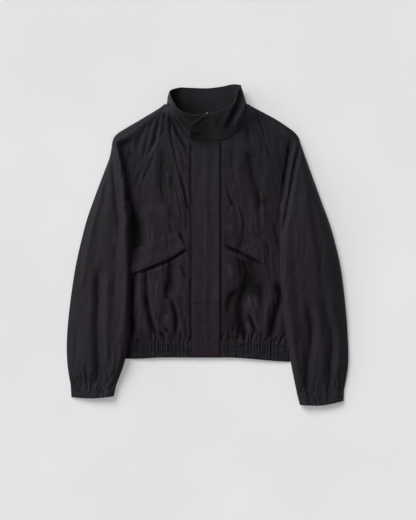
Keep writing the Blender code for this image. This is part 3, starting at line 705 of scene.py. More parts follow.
def clothMaterial(name, look):
    made, tree, shader = newMaterial(name)
    dyedAndLit = addNode(tree, "ShaderNodeGroup", {"Cloud size": look["cloudSize"]}, node_tree=dyeAndPaintedLight).outputs
    tint = addNode(tree, "ShaderNodeMix", {"A": (*look["dye"], 1), "B": (*look["cast"], 1),
                                           "Factor": dyedAndLit["Dye"]}, data_type="RGBA")
    # painted light: the dye multiplied down in the creases for painted shade and up on the ridges for a
    # painted highlight
    ramp = addNode(tree, "ShaderNodeMapRange", {"Value": dyedAndLit["Worn"], "To Min": look["valley"],
                                                "To Max": look["ridge"]})
    shade = addNode(tree, "ShaderNodeMix", {"A": tint.outputs["Result"], "B": ramp.outputs["Result"],
                                            "Factor": 1.0}, data_type="RGBA", blend_type="MULTIPLY")
    flat = addNode(tree, "ShaderNodeUVMap", uv_map="cut")
    woven = addNode(tree, "ShaderNodeGroup", {"Place": flat, "Threads": look["threads"]},
                    node_tree=weave).outputs
    rough = addNode(tree, "ShaderNodeMapRange", {"Value": woven["Yarn"], "To Min": look["roughness"] - 0.06,
                                                 "To Max": look["roughness"] + 0.06})
    spot = addNode(tree, "ShaderNodeTexCoord").outputs["Object"]
    turned = addNode(tree, "ShaderNodeMapping", {"Vector": spot, "Rotation": (0, 0, 0.12),
                                                 "Scale": (1.0, 0.42, 1.0)})
    crinkle = addNode(tree, "ShaderNodeTexNoise", {"Vector": turned, "Scale": look["crinkleSize"],
                                                   "Detail": 4.0, "Distortion": 0.9})
    soft = addNode(tree, "ShaderNodeBump", {"Height": crinkle.outputs["Fac"], "Strength": 1.0,
                                            "Distance": look["crinkle"]})
    bump = addNode(tree, "ShaderNodeBump", {"Height": woven["Height"], "Strength": look["bump"],
                                            "Distance": 0.00012, "Normal": soft})
    feed(tree, shader, {
        "Base Color": shade.outputs["Result"], "Roughness": rough.outputs["Result"], "Normal": bump,
        "Sheen Weight": look["sheen"], "Sheen Roughness": 0.45, "Sheen Tint": (0.86, 0.88, 1.0, 1),
        "Specular IOR Level": look["specular"]})
    return made


def plainMaterial(name, colour, roughness, metallic=0.0, grain=700.0, gloss=0.5, glow=0.0):
    # thread, metal and floor: one colour with a fine uneven surface
    made, tree, shader = newMaterial(name)
    place = addNode(tree, "ShaderNodeTexCoord").outputs["Object"]
    noise = addNode(tree, "ShaderNodeTexNoise", {"Vector": place, "Scale": grain})
    mix = addNode(tree, "ShaderNodeMix", {
        "A": (*[c * 0.9 for c in colour], 1), "B": (*[c * 1.1 for c in colour], 1),
        "Factor": noise.outputs["Fac"]}, data_type="RGBA")
    feed(tree, shader, {"Base Color": mix.outputs["Result"], "Roughness": roughness,
                        "Metallic": metallic, "Specular IOR Level": gloss})
    if glow:
        feed(tree, shader, {"Emission Color": (1, 1, 1, 1), "Emission Strength": glow})
    return made


# dye towards the edges and its cast in the middle; painted shade darkens it in a valley and a painted
# highlight lightens it on a ridge
shellLook = dict(dye=(0.0203, 0.0187, 0.0233), cast=(0.0216, 0.0148, 0.0210), valley=0.13, ridge=1.52,
                 roughness=0.62, sheen=0.045, specular=0.09, threads=1800.0, bump=0.35, cloudSize=13.0,
                 crinkle=0.00088, crinkleSize=70.0)
trimLook = {**shellLook, "cast": (0.0208, 0.0172, 0.0224), "bump": 0.45, "valley": 0.25, "ridge": 1.5}
# the collar: a lighter copy of the shell cloth, painted light for its standing front, which faces away from
# the lamps
collarLitLook = {**shellLook, "dye": (0.0240, 0.0226, 0.0276), "cast": (0.0250, 0.0214, 0.0274),
              "valley": 0.2, "ridge": 1.5}
tapeLook = {**shellLook, "dye": (0.020, 0.020, 0.022), "cast": (0.024, 0.024, 0.026), "threads": 1200.0,
            "bump": 0.8}
shellCloth = clothMaterial("shellCloth", shellLook)
trimCloth = clothMaterial("gatheredCloth", trimLook)
collarLitCloth = clothMaterial("collarLitCloth", collarLitLook)
tapeCloth = clothMaterial("zipTape", tapeLook)
threadFinish = plainMaterial("sewingThread", (0.0125, 0.0110, 0.0138), 0.8, gloss=0.1)
coilFinish = plainMaterial("zipCoil", (0.045, 0.045, 0.048), 0.35)
stopFinish = plainMaterial("zipStop", (0.30, 0.30, 0.31), 0.35, metallic=1.0)
print("finishes made")


def dress(piece, node):
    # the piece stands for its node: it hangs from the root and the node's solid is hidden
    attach(piece, "root")
    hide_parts(node)


sleeveColumns = ("inX", "inY", "outX", "outY", "endX", "endY", "dipW", "dipZ", "ridgeW", "ridgeZ", "crownZ")
underarm = 6      # row of the sleeves' tables
sleeves = {
    right: [
        (106, 349, 109.5, 347, 85, 336.5, 0.30, 22, 0.60, 20, 15),
        (126, 292, 175, 308, 104, 288, 0.35, 20, 0.70, 20, 18),
        (143, 240, 224, 278, 130, 240, 0.45, 18, 0.80, 21, 17),
        (151, 218, 237, 258, 142, 216, 0.70, 13, 0.90, 22, 16),
        (160, 196, 243, 222, 154, 192, 0.52, 10, 0.70, 31, 24),
        (181, 146, 271, 146, 176, 142, 0.13, 9, 0.29, 36, 28),
        (198, 82, 295, 80, 196, 79, -0.08, 17, 0.08, 40, 29),
        (191, 36, 308, 36, 0, 0, 0.00, 22, 0.10, 44, 28),
        (191, -50, 328, -50, 0, 0, 0.00, 20, 0.05, 40, 28),
        (191, -150, 343, -150, 0, 0, 0.00, 20, 0.06, 37, 28),
        (195, -232, 350.5, -235, 0, 0, 0.00, 19, 0.07, 34, 26),
        (208, -296, 349, -300, 0, 0, 0.00, 15, 0.08, 29, 23),
        (228.5, -351, 341, -351, 0, 0, 0.00, 10, 0.10, 19, 16),
    ],
    left: [
        (101, 349, 104.0, 347, 84, 336.5, 0.30, 22, 0.60, 20, 15),
        (130, 304, 169, 314, 108, 298, 0.35, 20, 0.70, 20, 18),
        (146, 254, 220, 278, 132, 252, 0.45, 18, 0.80, 21, 17),
        (154, 230, 231, 255, 144, 227, 0.66, 13, 0.88, 22, 16),
        (163, 208, 242, 224, 156, 204, 0.48, 10, 0.64, 30, 25),
        (181, 160, 265, 160, 175, 157, 0.12, 9, 0.25, 33, 32),
        (190, 95, 288.5, 95, 188, 92, -0.09, 17, 0.08, 34, 36),
        (181, 45, 307.5, 42, 0, 0, 0.00, 22, 0.08, 34, 38),
        (180, -50, 330.5, -50, 0, 0, 0.00, 20, 0.06, 32, 37),
        (186, -150, 343.5, -150, 0, 0, 0.00, 20, 0.06, 32, 33),
        (198, -232, 350, -235, 0, 0, 0.00, 19, 0.07, 34, 26),
        (209, -300, 350.5, -302, 0, 0, 0.00, 15, 0.08, 29, 23),
        (222.5, -366, 340, -365, 0, 0, 0.00, 10, 0.10, 19, 16),
    ],
}
sleeveShape = dict(
    flat=(0.42, 0.72), area=0.215,
    # crown's height from the ridge to the outer edge, at these shares of the way
    fall={right: (1.0, 0.86, 0.60, 0.33), left: (1.0, 1.0, 0.86, 0.50)}, fallAt=(0.4, 0.62, 0.84, 0.965),
    back=(0.10, 0.35, 0.6, 0.8, 1.0),      # on the floor, from the outer edge to the back's seam
    # points between two of a section's own, denser at the raglan seam
    around=((0, 0.05, 0.1, 0.17, 0.26, 0.38, 0.52, 0.68, 0.84), 6, 6, 9, 10, 10, 10, 10, 8, 7, 5, 8, 8, 6, 5),
)


def halfSteps(rows):
    # the rows and one more between each two, on a smooth curve
    rows = np.asarray(rows, float)
    return smoothAt(np.arange(len(rows)), rows, np.arange(2 * len(rows) - 1) / 2)


def sleeveSections(side):
    # 16 points round the sleeve at each section, front seam to back seam
    sections = []
    cloth, lift, gap = jacket["solidWall"], jacket["lift"], jacket["gap"]
    for number, values in enumerate(halfSteps(sleeves[side])):
        row = dict(zip(sleeveColumns, values))
        inner, outer = np.array([row["inX"], row["inY"]]), np.array([row["outX"], row["outY"]])
        if number == 2 * underarm + 1:
            inner[0] = sleeves[side][underarm + 1][0]

        def top(w, z):
            x, y = inner + (outer - inner) * w
            return (side * x, y, z)

        dip, ridge, crown = row["dipW"], row["ridgeW"], row["crownZ"]
        if number < 2 * underarm:
            dip = max(dip, 0.06)
        rest = 1 - ridge
        if number <= 2 * underarm:
            seamZ = float(tableAt(raglanHeight, inner[1]))
            dipZ = row["dipZ"]
            points = [top(0, seamZ), top(dip * 0.35, seamZ * 0.8 + dipZ * 0.2),
                      top(dip * 0.7, seamZ * 0.4 + dipZ * 0.6), top(dip, dipZ)]
            if number == 2 * underarm:     # turned over its seam, lying back on the front
                points[1:3] = [top(0.022, seamZ + 2.6), top(-0.03, seamZ + 3.4)]
            end = np.array([row["endX"], row["endY"]])
            floor = [(outer + (end - outer) * share, floorZ) for share in sleeveShape["back"]]
        else:
            y = inner[1]
            edgeX = float(frontEdge(side, max(y, jacket["waistY"]))[0])
            onBody = y > jacket["hemY"] - 6
            first = number == 2 * underarm + 1
            seamX = max(edgeX + 5 if first else edgeX - (12 if onBody else 4), inner[0] + 12)
            below = bodyTop(side, seamX, y) if onBody else floorZ - cloth / 2 - gap
            endZ = below + cloth / 2 + lift + (1.0 if first else 0.0)
            turnX = seamX * 0.35 + inner[0] * 0.65
            turnZ = max(bodyTop(side, turnX, y) if onBody else 0, below) + cloth / 2 + lift + 2.0
            points = [(side * seamX, y, endZ + cloth + gap), (side * turnX, y, turnZ),
                      (side * (inner[0] + 2), y, max(turnZ + 2.5, row["dipZ"] - 8)),
                      (side * inner[0], y, row["dipZ"])]
            ramp = np.array([edgeX + 13, y])
            bendZ = floorZ if not onBody else endZ if seamX > edgeX else 5.0
            floor = [((outer[0] - 0.10 * (outer[0] - ramp[0]), outer[1]), floorZ),
                     ((outer + ramp) / 2, floorZ), (ramp, floorZ),
                     ((max(edgeX + 1, seamX), y), bendZ), ((seamX, y), endZ)]
        points += [top(ridge, row["ridgeZ"]), top(ridge + rest * 0.2, crown * 0.75 + row["ridgeZ"] * 0.25)]
        points += [top(ridge + rest * share, crown * fall)
                   for share, fall in zip(sleeveShape["fallAt"], sleeveShape["fall"][side])]
        points += [(side * x, y, z) for (x, y), z in [(outer, crown * 0.25)] + floor]
        sections.append(points)
    return np.array(sections)


def aroundSection(sections, parts):
    # more points round every section, on smooth curves through its own
    points = sections.swapaxes(0, 1)
    step = np.maximum(np.linalg.norm(np.diff(points, axis=0), axis=2), 0.05)[..., None]
    tangent = tangents(points, step)
    found, numbers = [], []
    for k, count in enumerate(parts):
        for t in (np.arange(count) / count if isinstance(count, int) else count):
            found.append(between(points[k], points[k + 1], tangent[k], tangent[k + 1], step[k], t))
            numbers.append(k + t)
    return np.stack(found + [points[-1]], 1), np.array(numbers + [len(parts)], float)


def alongSleeve(sections, spacing):
    # rows between the key sections; every key section stays a row
    gaps = np.linalg.norm(np.diff(sections, axis=0), axis=2)
    run = np.concatenate([[0], np.cumsum(gaps.mean(1))])
    at, marks = [], []
    for k, gap in enumerate(np.percentile(gaps, 80, axis=1)):
        count = max(2, int(math.ceil(gap / spacing)))
        marks.append(len(at))
        at += list(np.linspace(run[k], run[k + 1], count, endpoint=False))
    marks.append(len(at))
    at.append(run[-1])
    return smoothAt(run, sections, np.array(at)), marks


def firstEdges():
    # outer edges of the fronts before the sleeves have been drawn
    for side in (right, left):
        seam = halfSteps([row[:2] for row in sleeves[side][:underarm + 1]])[::-1]
        ys = np.linspace(sideSeams[side][0][0], sideSeams[side][-1][0], 160)
        low = np.column_stack([ys, tableAt(sideSeams[side], ys)])
        high = np.column_stack([seam[1:, 1], seam[1:, 0], tableAt(raglanHeight, seam[1:, 1])])
        edgeLines[side] = np.vstack([low, high])


cuffEdges = {side: gatherEdges(180, 360, 31 + side) for side in (right, left)}


def cuffPull(side, x, y):
    # the sleeve drawn in above its cuff
    near = np.exp(-np.clip(y - cuffSeamY[side], 0, None) / gathers["cuffFade"])
    return near * gathered(np.abs(x), cuffEdges[side])


def sleeveGrid(side):
    rows, marks = alongSleeve(sleeveSections(side), jacket["spacing"])
    grid, number = aroundSection(rows, sleeveShape["around"])
    x, y = grid[..., 0], grid[..., 1]
    seamRow = marks[2 * underarm]
    above = ease((seamRow - np.arange(len(grid))) / 9)[:, None]          # 1 above the underarm, 0 below
    inner = ease((number - 2.0) / 1.6)[None]                             # grows from the seam to the ridge
    outerFade = ease((10.2 - number) / 1.7)[None]
    hold = seamHold(side, y) * above
    weight = (hold + (1 - hold) * inner) * outerFade
    grid[..., 2] += relief(x, y) * weight + cuffPull(side, x, y) * outerFade * inner
    low = np.clip(1.6 * crumple(x, y, 15, 70, 41) + 0.8 * crumple(x, y, 40, 30, 42), 0, None)
    grid[..., 2] += low * span(number, 11.4, 1.2, 15, 1.5)[None] * (grid[..., 2] < 4)
    grid[..., 2] = np.maximum(grid[..., 2], floorZ)
    return grid, number, seamRow


firstEdges()
sleeveGrids = {}
for side in (right, left):
    sleeveGrids[side] = grid, _, seamRow = sleeveGrid(side)
    seam = grid[:seamRow + 1, 0][::-1]
    lower = edgeLines[side][edgeLines[side][:, 0] < seam[0, 1] - 0.01]
    plain = tableAt(raglanHeight, seam[:, 1])
    edgeLines[side] = np.vstack([lower, np.column_stack([seam[:, 1], np.abs(seam[:, 0]), plain])])
print("sleeves drawn")

raglan = dict(depth=0.8, width=1.4, ridge=0.12, ridgeAt=2.4, stitchAt=4.0)       # the seam, sunk in
tucked = dict(toX=94, share=0.65, down=1.5, flatter=0.2)      # neck end of a sleeve, under the collar


def drawSleeve(side):
    grid, number, seamRow = sleeveGrids[side]
    grid = grid.copy()
    run = runOver(grid, 1)
    held = (run / raglan["width"])[:seamRow + 1]
    grid[:seamRow + 1, :, 2] -= raglan["depth"] * bell(held, 1)
    grid[:seamRow + 1, :, 2] += raglan["ridge"] * bell(held - raglan["ridgeAt"], 1)
    tuck = grid[:1].copy()
    inward = ease((11.5 - number) / 1.5)
    tuck[0, :, 0] += inward * tucked["share"] * (side * tucked["toX"] - tuck[0, :, 0])
    tuck[0, :, 1] -= tucked["down"] * inward
    tuck[0, :, 2] -= tucked["flatter"] * inward * np.clip(tuck[0, :, 2] - 4, 0, None)
    grid = np.vstack([tuck, grid])
    run = np.vstack([run[:1], run])
    # painted light with painted shade in the folds, fading towards the sleeve's edges
    paintedLight = paintedLightWithFoldShade(grid, span(number, 0.2, 1.0, 10.6, 2.2)[None])
    piece, outer, normal = wallMesh("sleeve" + sideNames[side] + "Cloth", grid, jacket["wall"], shellCloth,
                                    soft=("last",), upward=False, paintedLight=paintedLight)
    rows = np.arange(8, seamRow - 4)
    beside = np.array([np.interp(raglan["stitchAt"], run[row], np.arange(run.shape[1])) for row in rows])
    sewAlong("cloth", outer, normal, jacket["wall"], rows, beside)
    dress(piece, "sleeve_" + sideNames[side].lower())


for side in (right, left):
    drawSleeve(side)
print("sleeves made")


backCut = dict(flat=(0.50, 0.60), area=0.255, rows=110, columns=90, creases=1.3, pull=0.6, pullFade=16,
               neck=[(-86, 339), (-45, 328), (0, 323.2), (45, 328), (86, 339)], underCollar=1.2,
               neckRows=22)      # rows that follow the neckline less and less


def drawBack():
    sideEdge = {}
    for side in (right, left):
        grid, _, seamRow = sleeveGrids[side]
        ys = np.linspace(sideSeams[side][-1][0] - 3, jacket["waistY"], 140)
        low = np.column_stack([side * tableAt(sideSeams[side], ys)[:, 0], ys])
        low[:, 0] -= side * 2.0 * ease((ys - 20) / 40)
        edge = np.vstack([grid[:seamRow + 1, -1, :2], low])
        run = runAlong(edge)
        sideEdge[side] = lineAt(run, edge, np.linspace(0, run[-1], backCut["rows"]))
    share = np.linspace(0, 1, backCut["columns"])[None, :, None]
    grid = sideEdge[right][:, None] * (1 - share) + sideEdge[left][:, None] * share
    neckY = tableAt(backCut["neck"], grid[0, :, 0]) + backCut["underCollar"]
    follow = np.clip(1 - np.arange(backCut["rows"]) / backCut["neckRows"], 0, None)[:, None]
    grid[..., 1] += (neckY - grid[0, :, 1]) * follow
    x, y = grid[..., 0], grid[..., 1]
    ridge = np.abs(crumple(x + 0.3 * y, y, 30, 130, 51)) * 0.5 + np.clip(crumple(x, y, 18, 60, 52), 0, 1)
    pull = np.exp(-np.clip(y - jacket["waistY"], 0, None) / backCut["pullFade"])
    pull = pull * (1 + gathered(x, waistEdges)) * backCut["pull"]
    edges = span(share[..., 0], 0, 0.06, 1, 0.06)
    z = floorZ + (backCut["creases"] * ridge * ease((y - jacket["waistY"]) / 30) + pull) * edges
    piece = wallMesh("backCloth", hemDrop(np.dstack([x, y, z])), jacket["wall"], shellCloth, soft=())[0]
    dress(piece, "back")


frontCut = dict(flat=(0.26, 0.60), area=0.128, columns=88,
                rows=(32, 10, 173),                          # along the neckline, the neck seam and the zip
                outerY=(262.0, 238.0),                       # where these end on the outer edge
                inset=5.0, edge=(3.8, 2.4, 1.5, 0.7, 0.0))   # last columns, from the outer edge


def spreadOver(points, count):
    # count points at even steps of a list of points, without its end
    at = np.linspace(0, 1, count, endpoint=False) * (len(points) - 1)
    return lineAt(np.arange(len(points)), points, at)


def frontGrid(side):
    topY, neckY, waistY = edgeLines[side][-1, 0], jacket["neckY"], jacket["waistY"]
    middle = side * (jacket["centreX"] + side * jacket["zipGap"] / 2)
    # inner edge: down the neckline, along the neck seam to the zip, then down the zip
    line = np.linspace(topY, neckY, 60)
    neck = np.column_stack([tableAt(necklines[side], line), line])
    seam = np.column_stack([np.linspace(neck[-1, 0], middle, 14), np.full(14, neckY)])
    counts = frontCut["rows"]
    ys = np.linspace(neckY, waistY, counts[2] + 1)
    zipEdge = np.column_stack([np.full(len(ys), middle), ys])
    inner = np.vstack([spreadOver(neck, counts[0]), spreadOver(seam, counts[1]), zipEdge])
    keys = (topY, *frontCut["outerY"], waistY)
    outerY = np.concatenate([np.linspace(keys[k], keys[k + 1], counts[k], endpoint=False) for k in range(3)]
                            + [[waistY]])
    outer = np.column_stack([frontEdge(side, outerY)[0], outerY])
    width = np.linalg.norm(outer - inner, axis=1)[:, None]
    edge = np.array(frontCut["edge"])
    share = np.linspace(0, 1, frontCut["columns"] - len(edge), endpoint=False)
    stops = np.hstack([share * (width - frontCut["inset"]) / width, 1 - edge / width])
    grid = inner[:, None] + (outer - inner)[:, None] * stops[..., None]
    x, y = side * grid[..., 0], grid[..., 1]
    off = np.abs(grid - outer[:, None]).sum(2)
    sunk = (y > sideSeams[side][-1][0]) * raglan["depth"] * bell(off, raglan["width"])
    return hemDrop(np.dstack([x, y, frontHeight(side, x, y) - sunk]))


def drawFront(side):
    grid = frontGrid(side)
    # painted light with painted shade in the folds and the pressed lines
    piece = wallMesh("front" + sideNames[side] + "Cloth", grid, jacket["wall"], shellCloth,
                     soft=("first",), paintedLight=paintedLightWithFoldShade(grid))[0]
    dress(piece, "front_" + sideNames[side].lower())


drawBack()
for side in (right, left):
    drawFront(side)
print("fronts and back made")


waistband = dict(
    flat=(0.86, 0.041), rows=17, upper=1.35, under=4.0, wall=1.6,      # upper, under: between two columns
    pinch=0.72, pinchWidth=3.2,          # drawn in at the middle row of stitches
    stray=3.2, rough=0.9, wave=0.9, waveReach=8,       # unevenness of its gathers and of the hem
    seam=0.5, seamWidth=1.6, loose=5, sideFade=9, stitchRows=(1, 10), stitchGap=3,
)


def drawWaistband():
    waistY, hemY, middleY, centreX = (jacket["waistY"], jacket["hemY"], gathers["bandMiddleY"],
                                      jacket["centreX"])
    ends = {side: side * sideSeams[side][0][1] for side in (right, left)}
    uppers = {}
    for side in (right, left):
        begin = centreX + side * jacket["zipGap"] / 2
        count = int(abs(ends[side] - begin) / waistband["upper"])
        uppers[side] = np.linspace(begin, ends[side] - side * 3, count)
    backX = np.linspace(ends[right] + 1.5, ends[left] - 1.5,
                        int((ends[left] - ends[right]) / waistband["under"]))
    placketEdge = {right: placketCut["outerX"], left: placketCut["innerX"]}

    def upper(side, y, pinch):
        x = uppers[side]
        level = np.full(x.shape, y)
        height = gathers["height"] * pinch * (0.55 + 0.45 * min(1.0, (waistY - y) / 6))
        size = height * (1.3 + 0.9 * crumple(x, level, 13, 12, 46 if y > middleY else 47))
        wave = gathered(x + waistband["stray"] * crumple(x, level, 21, 13, 48),
                        waistEdges if y > middleY else hemEdges)
        rough = waistband["rough"] * crumple(x, level, 5, 6, 53) * pinch
        loose = np.where(underPlacket(x), 0, ease(np.abs(x - placketEdge[side]) / waistband["loose"]))
        loose = loose * ease((np.abs(ends[side]) - np.abs(x)) / waistband["sideFade"])
        sunk = waistband["seam"] * bell(y - waistY, waistband["seamWidth"])
        z = bandHeight(x, level) + (size * wave + rough) * loose - sunk
        hanging = max(0, 1 - (y - hemY) / waistband["waveReach"])
        return np.column_stack([x, level + waistband["wave"] * wave * loose * hanging, z])

    rows = []
    for y in np.linspace(waistY, hemY, waistband["rows"]):
        pinch = 1 - waistband["pinch"] * bell(y - middleY, waistband["pinchWidth"])
        under = np.column_stack([backX, np.full(backX.shape, y),
                                 floorZ + 0.5 + 0.45 * gathered(backX, waistEdges) * pinch])
        turnR, turnL = [[ends[right] - 0.9, y, 2.3]], [[ends[left] + 0.9, y, 2.3]]
        rows.append(np.vstack([upper(right, y, pinch), turnR, under, turnL, upper(left, y, pinch)[::-1]]))
    grid = hemDrop(np.array(rows))
    piece, outer, normal = wallMesh("waistbandCloth", grid, waistband["wall"], trimCloth, soft=("last",),
                                    upward=False)
    for row in waistband["stitchRows"]:
        for side, first in ((right, 0), (left, grid.shape[1] - len(uppers[left]))):
            x = uppers[side][::-side]
            free = ((x < placketCut["outerX"] - waistband["stitchGap"])
                    | (x > placketCut["innerX"] + waistband["stitchGap"]))
            spots = first + np.nonzero(free & (np.abs(x) < abs(ends[side]) - 12))[0]
            sewAlong("elastic", outer, normal, waistband["wall"], row, spots)
    dress(piece, "waistband")


drawWaistband()


cuffs = {   # lower edge: share across and y; inner end's x
    right: dict(foot=[(0.0, -377.5), (0.5, -382.5), (1.0, -380.0)], inX=234.5),
    left: dict(foot=[(0.0, -399.0), (0.5, -400.0), (1.0, -389.5)], inX=231),
}
cuffShape = dict(
    flat=(0.225, 0.03), long=26, outX=339, rows=15, wall=1.6,
    around=(2, 2, 3, 8, 20, 20, 20, 18, 10, 6, 5, 10, 8, 3, 2),      # points between two of the ring's own
    pinch=0.7, pinchAt=0.6, pinchWidth=0.1, stitchRows=(1, 8),
    stray=3.0, shift=2.3, wave=0.8, waveFrom=0.8,      # unevenness of its gathers and of its lower edge
    seam=0.5, seamWidth=0.05, under=0.4,
)


def drawCuff(side):
    cuff, middle = cuffs[side], cuffShape["pinchAt"]
    ring, number = aroundSection(sleeveSections(side)[-1:], cuffShape["around"])
    x, y, z = ring[0].T
    across = np.abs(x)
    w = (across - across.min()) / (across.max() - across.min())
    footX = cuff["inX"] + (cuffShape["outX"] - cuff["inX"]) * w
    footY = tableAt(cuff["foot"], w)
    top, low = span(number, 2.6, 1.0, 10.4, 1.2), span(number, 11, 0.8, 14.6, 1.0)
    seamZ = z + relief(x, y) * ease((10.2 - number) / 1.7) * top
    rows = []
    for share in np.linspace(0, 1, cuffShape["rows"]):
        upper = share < middle
        pinch = 1 - cuffShape["pinch"] * bell(share - middle, cuffShape["pinchWidth"])
        level = np.full(across.shape, cuffShape["long"] * share)
        size = gathers["height"] * pinch * (1.6 + 1.3 * crumple(across, level, 11, 9, 43 if upper else 44))
        wave = gathered(across + cuffShape["stray"] * crumple(across, level, 17, 11, 45),
                        cuffEdges[side] + (0 if upper else cuffShape["shift"]))
        rough = crumple(across, level, 5, 6, 54) * pinch
        sunk = cuffShape["seam"] * bell(share, cuffShape["seamWidth"])
        rowZ = seamZ + (z - seamZ) * share - sunk + (size * wave + rough) * top
        rowZ = rowZ + cuffShape["under"] * (1 + wave) * low * pinch
        hanging = max(0, share - cuffShape["waveFrom"]) / 0.2
        rowY = y - 0.15 + (footY - y) * share + cuffShape["wave"] * wave * top * hanging
        rows.append(np.column_stack([side * (across + (footX - across) * share), rowY,
                                     np.maximum(rowZ, floorZ)]))
    piece, outer, normal = wallMesh("cuff" + sideNames[side] + "Cloth", np.array(rows), cuffShape["wall"],
                                    trimCloth, soft=("last",), upward=False)
    spots = np.nonzero((number > 3.2) & (number < 10.4))[0]
    for row in cuffShape["stitchRows"]:
        sewAlong("elastic", outer, normal, cuffShape["wall"], row, spots)
    dress(piece, "cuff_" + sideNames[side].lower())


for side in (right, left):
    drawCuff(side)
print("waistband and cuffs made")


onFront = 0      # a foot at this height stands on the fronts
collarTable = [  # foot x, y, z, top x, y, z, bulge
    (-41, 261, 0, -42, 296, 70, 6), (-22, 260, 0, -22, 309, 70, 5), (0, 259.5, 0, -2, 321, 68, 4),
    (26, 260, 0, 22, 326, 66, 4), (54, 267, 0, 50, 338, 64, 4), (76, 285, 0, 66, 352, 62, 5),
    (88, 310, 0, 74, 369, 58, 4), (91, 334, 0, 79, 384, 48, 4), (93, 348, 38.5, 80, 392, 40, 2),
    (96, 349, 14, 81, 397, 28, 0), (86, 339, 2.5, 66, 400, 15, 0), (45, 328, 1.2, 36, 395, 10, 0),
    (0, 323.2, 1.2, 0, 391, 8, 0), (-45, 328, 1.2, -45, 392, 10, 0), (-86, 339, 2.5, -74, 391, 17, 0),
    (-100, 349, 13, -91, 383, 34, 0), (-93, 348, 38.5, -92, 370, 60, 3), (-77, 326, 0, -83, 350, 74, 5),
    (-63, 296, 0, -68, 331, 74, 6), (-46, 274, 0, -44, 322, 69, 3), (-24, 265.5, 0, -22, 318, 65, 0),
    (-15.5, 265, 0, -15, 318.5, 63, 0),
]
collar = dict(flat=(0.60, 0.07), spacing=2.6, up=26, wall=2.1, neckY=330, sunk=0.6, wobble=0.8,
              # painted light: a base, painted shade in the folds, lighter where it wobbles out, and a painted
              # highlight along its foot
              paintedLight=0.62, foldPaintedLight=0.6, wobblePaintedLight=0.12, footPaintedLight=0.3, stitchColumns=(4, 25))
collarFolds = [
    (13.0, 6.5, [(93, 420), (84, 384), (76, 350), (64, 322), (52, 298), (38, 276)]),
    (-4.0, 7, [(94, 400), (92, 366), (84, 336), (70, 308), (56, 284)]),
    (3.2, 5, [(-88, 356), (-76, 326), (-58, 298), (-40, 272)]),
    (2.0, 4, [(-96, 352), (-88, 320), (-70, 292), (-56, 276)]),
    (2.4, 4, [(-2, 312), (-14, 304), (-30, 291)]),
    (2.0, 4, [(-42, 269), (-26, 272), (-8, 277)]),
    (1.6, 7, [(30, 322), (24, 300), (10, 276)]),
    (1.2, 4, [(-34, 300), (-22, 288), (-6, 282)]),
    (3.0, 4, [(34, 402), (42, 380), (56, 360)]),
    (2.4, 3.6, [(62, 402), (60, 384), (66, 366)]),
    (1.8, 3.4, [(-20, 396), (-22, 372), (-18, 350)]),
    (1.6, 3.4, [(-52, 392), (-54, 372), (-58, 350)]),
    (1.6, 3.4, [(8, 392), (6, 370), (10, 346)]),
]


def drawCollar():
    table = np.asarray(collarTable, float)
    stands = (table[:, 2] == onFront).astype(float)
    rest = jacket["wall"] / 2 + collar["wall"] * 0.25
    table[:, 2] = np.where(stands > 0, surface(table[:, 0], table[:, 1]) + rest, table[:, 2])
    run = runAlong((table[:, :3] + table[:, 3:6]) / 2)
    at = np.linspace(0, run[-1], int(run[-1] / collar["spacing"]))
    fine = smoothAt(run, table, at)
    standing = np.interp(at, run, stands)
    fine[:, 2] = fine[:, 2] * (1 - standing) + (surface(fine[:, 0], fine[:, 1]) + rest) * standing
    away = np.column_stack([fine[:, 0] * 0.6, fine[:, 1] - collar["neckY"], np.zeros(len(fine))])
    away = (away / np.linalg.norm(away, axis=1, keepdims=True))[:, None]
    shares = np.concatenate([[0, 0.012], np.linspace(0.03, 0.97, collar["up"]), [0.985, 0.995, 1.0]])
    s = shares[None, :, None]
    grid = fine[:, None, :3] * (1 - s) + fine[:, None, 3:6] * s
    grid = grid + away * (fine[:, None, 6:7] * np.sin(np.pi * s))
    high = ease((fine[:, 5] - 40) / 12)[:, None] * ease(shares / 0.2)[None]
    folded = foldRelief(grid[..., 0], grid[..., 1], collarFolds) * high
    grid[..., 2] += collar["sunk"] * folded
    grid += away * (collar["sunk"] * folded)[..., None]
    wobble = collar["wobble"] * crumple(at[:, None], 70 * shares[None], 22, 30, 61)
    grid = grid + away * (wobble * np.sin(np.pi * shares))[..., None]
    grid[..., 2] = np.maximum(grid[..., 2], floorZ)
    # painted light: painted shade in its folds, lighter where it bulges out, and a painted highlight along
    # its foot on the fronts
    paintedLight = collar["paintedLight"] + collar["foldPaintedLight"] * np.tanh(folded / 3.0) + collar["wobblePaintedLight"] * wobble
    paintedLight = paintedLight + collar["footPaintedLight"] * standing[:, None] * bell(shares, 0.16)[None]
    cornerShade = bell(grid[..., 0] + 70, 55) * bell(grid[..., 1] - collar["neckY"], 34)      # painted shade on its inside, in its own shade
    piece, outer, normal = wallMesh("collarCloth", grid, collar["wall"], collarLitCloth,
                                    paintedLight=np.clip(paintedLight, 0, 1), under=0.5 - 0.5 * cornerShade)
    rows = np.arange(3, len(at) - 3)
    for column in collar["stitchColumns"]:
        spots, way = outer[rows, column], normal[rows, column]
        inside = ((spots - [0, collar["neckY"], 0]) * way).sum(1, keepdims=True) < 0
        seams["collar"].append(np.where(inside, spots - collar["wall"] * way, spots))
    dress(piece, "collar")


drawCollar()
print("collar made")


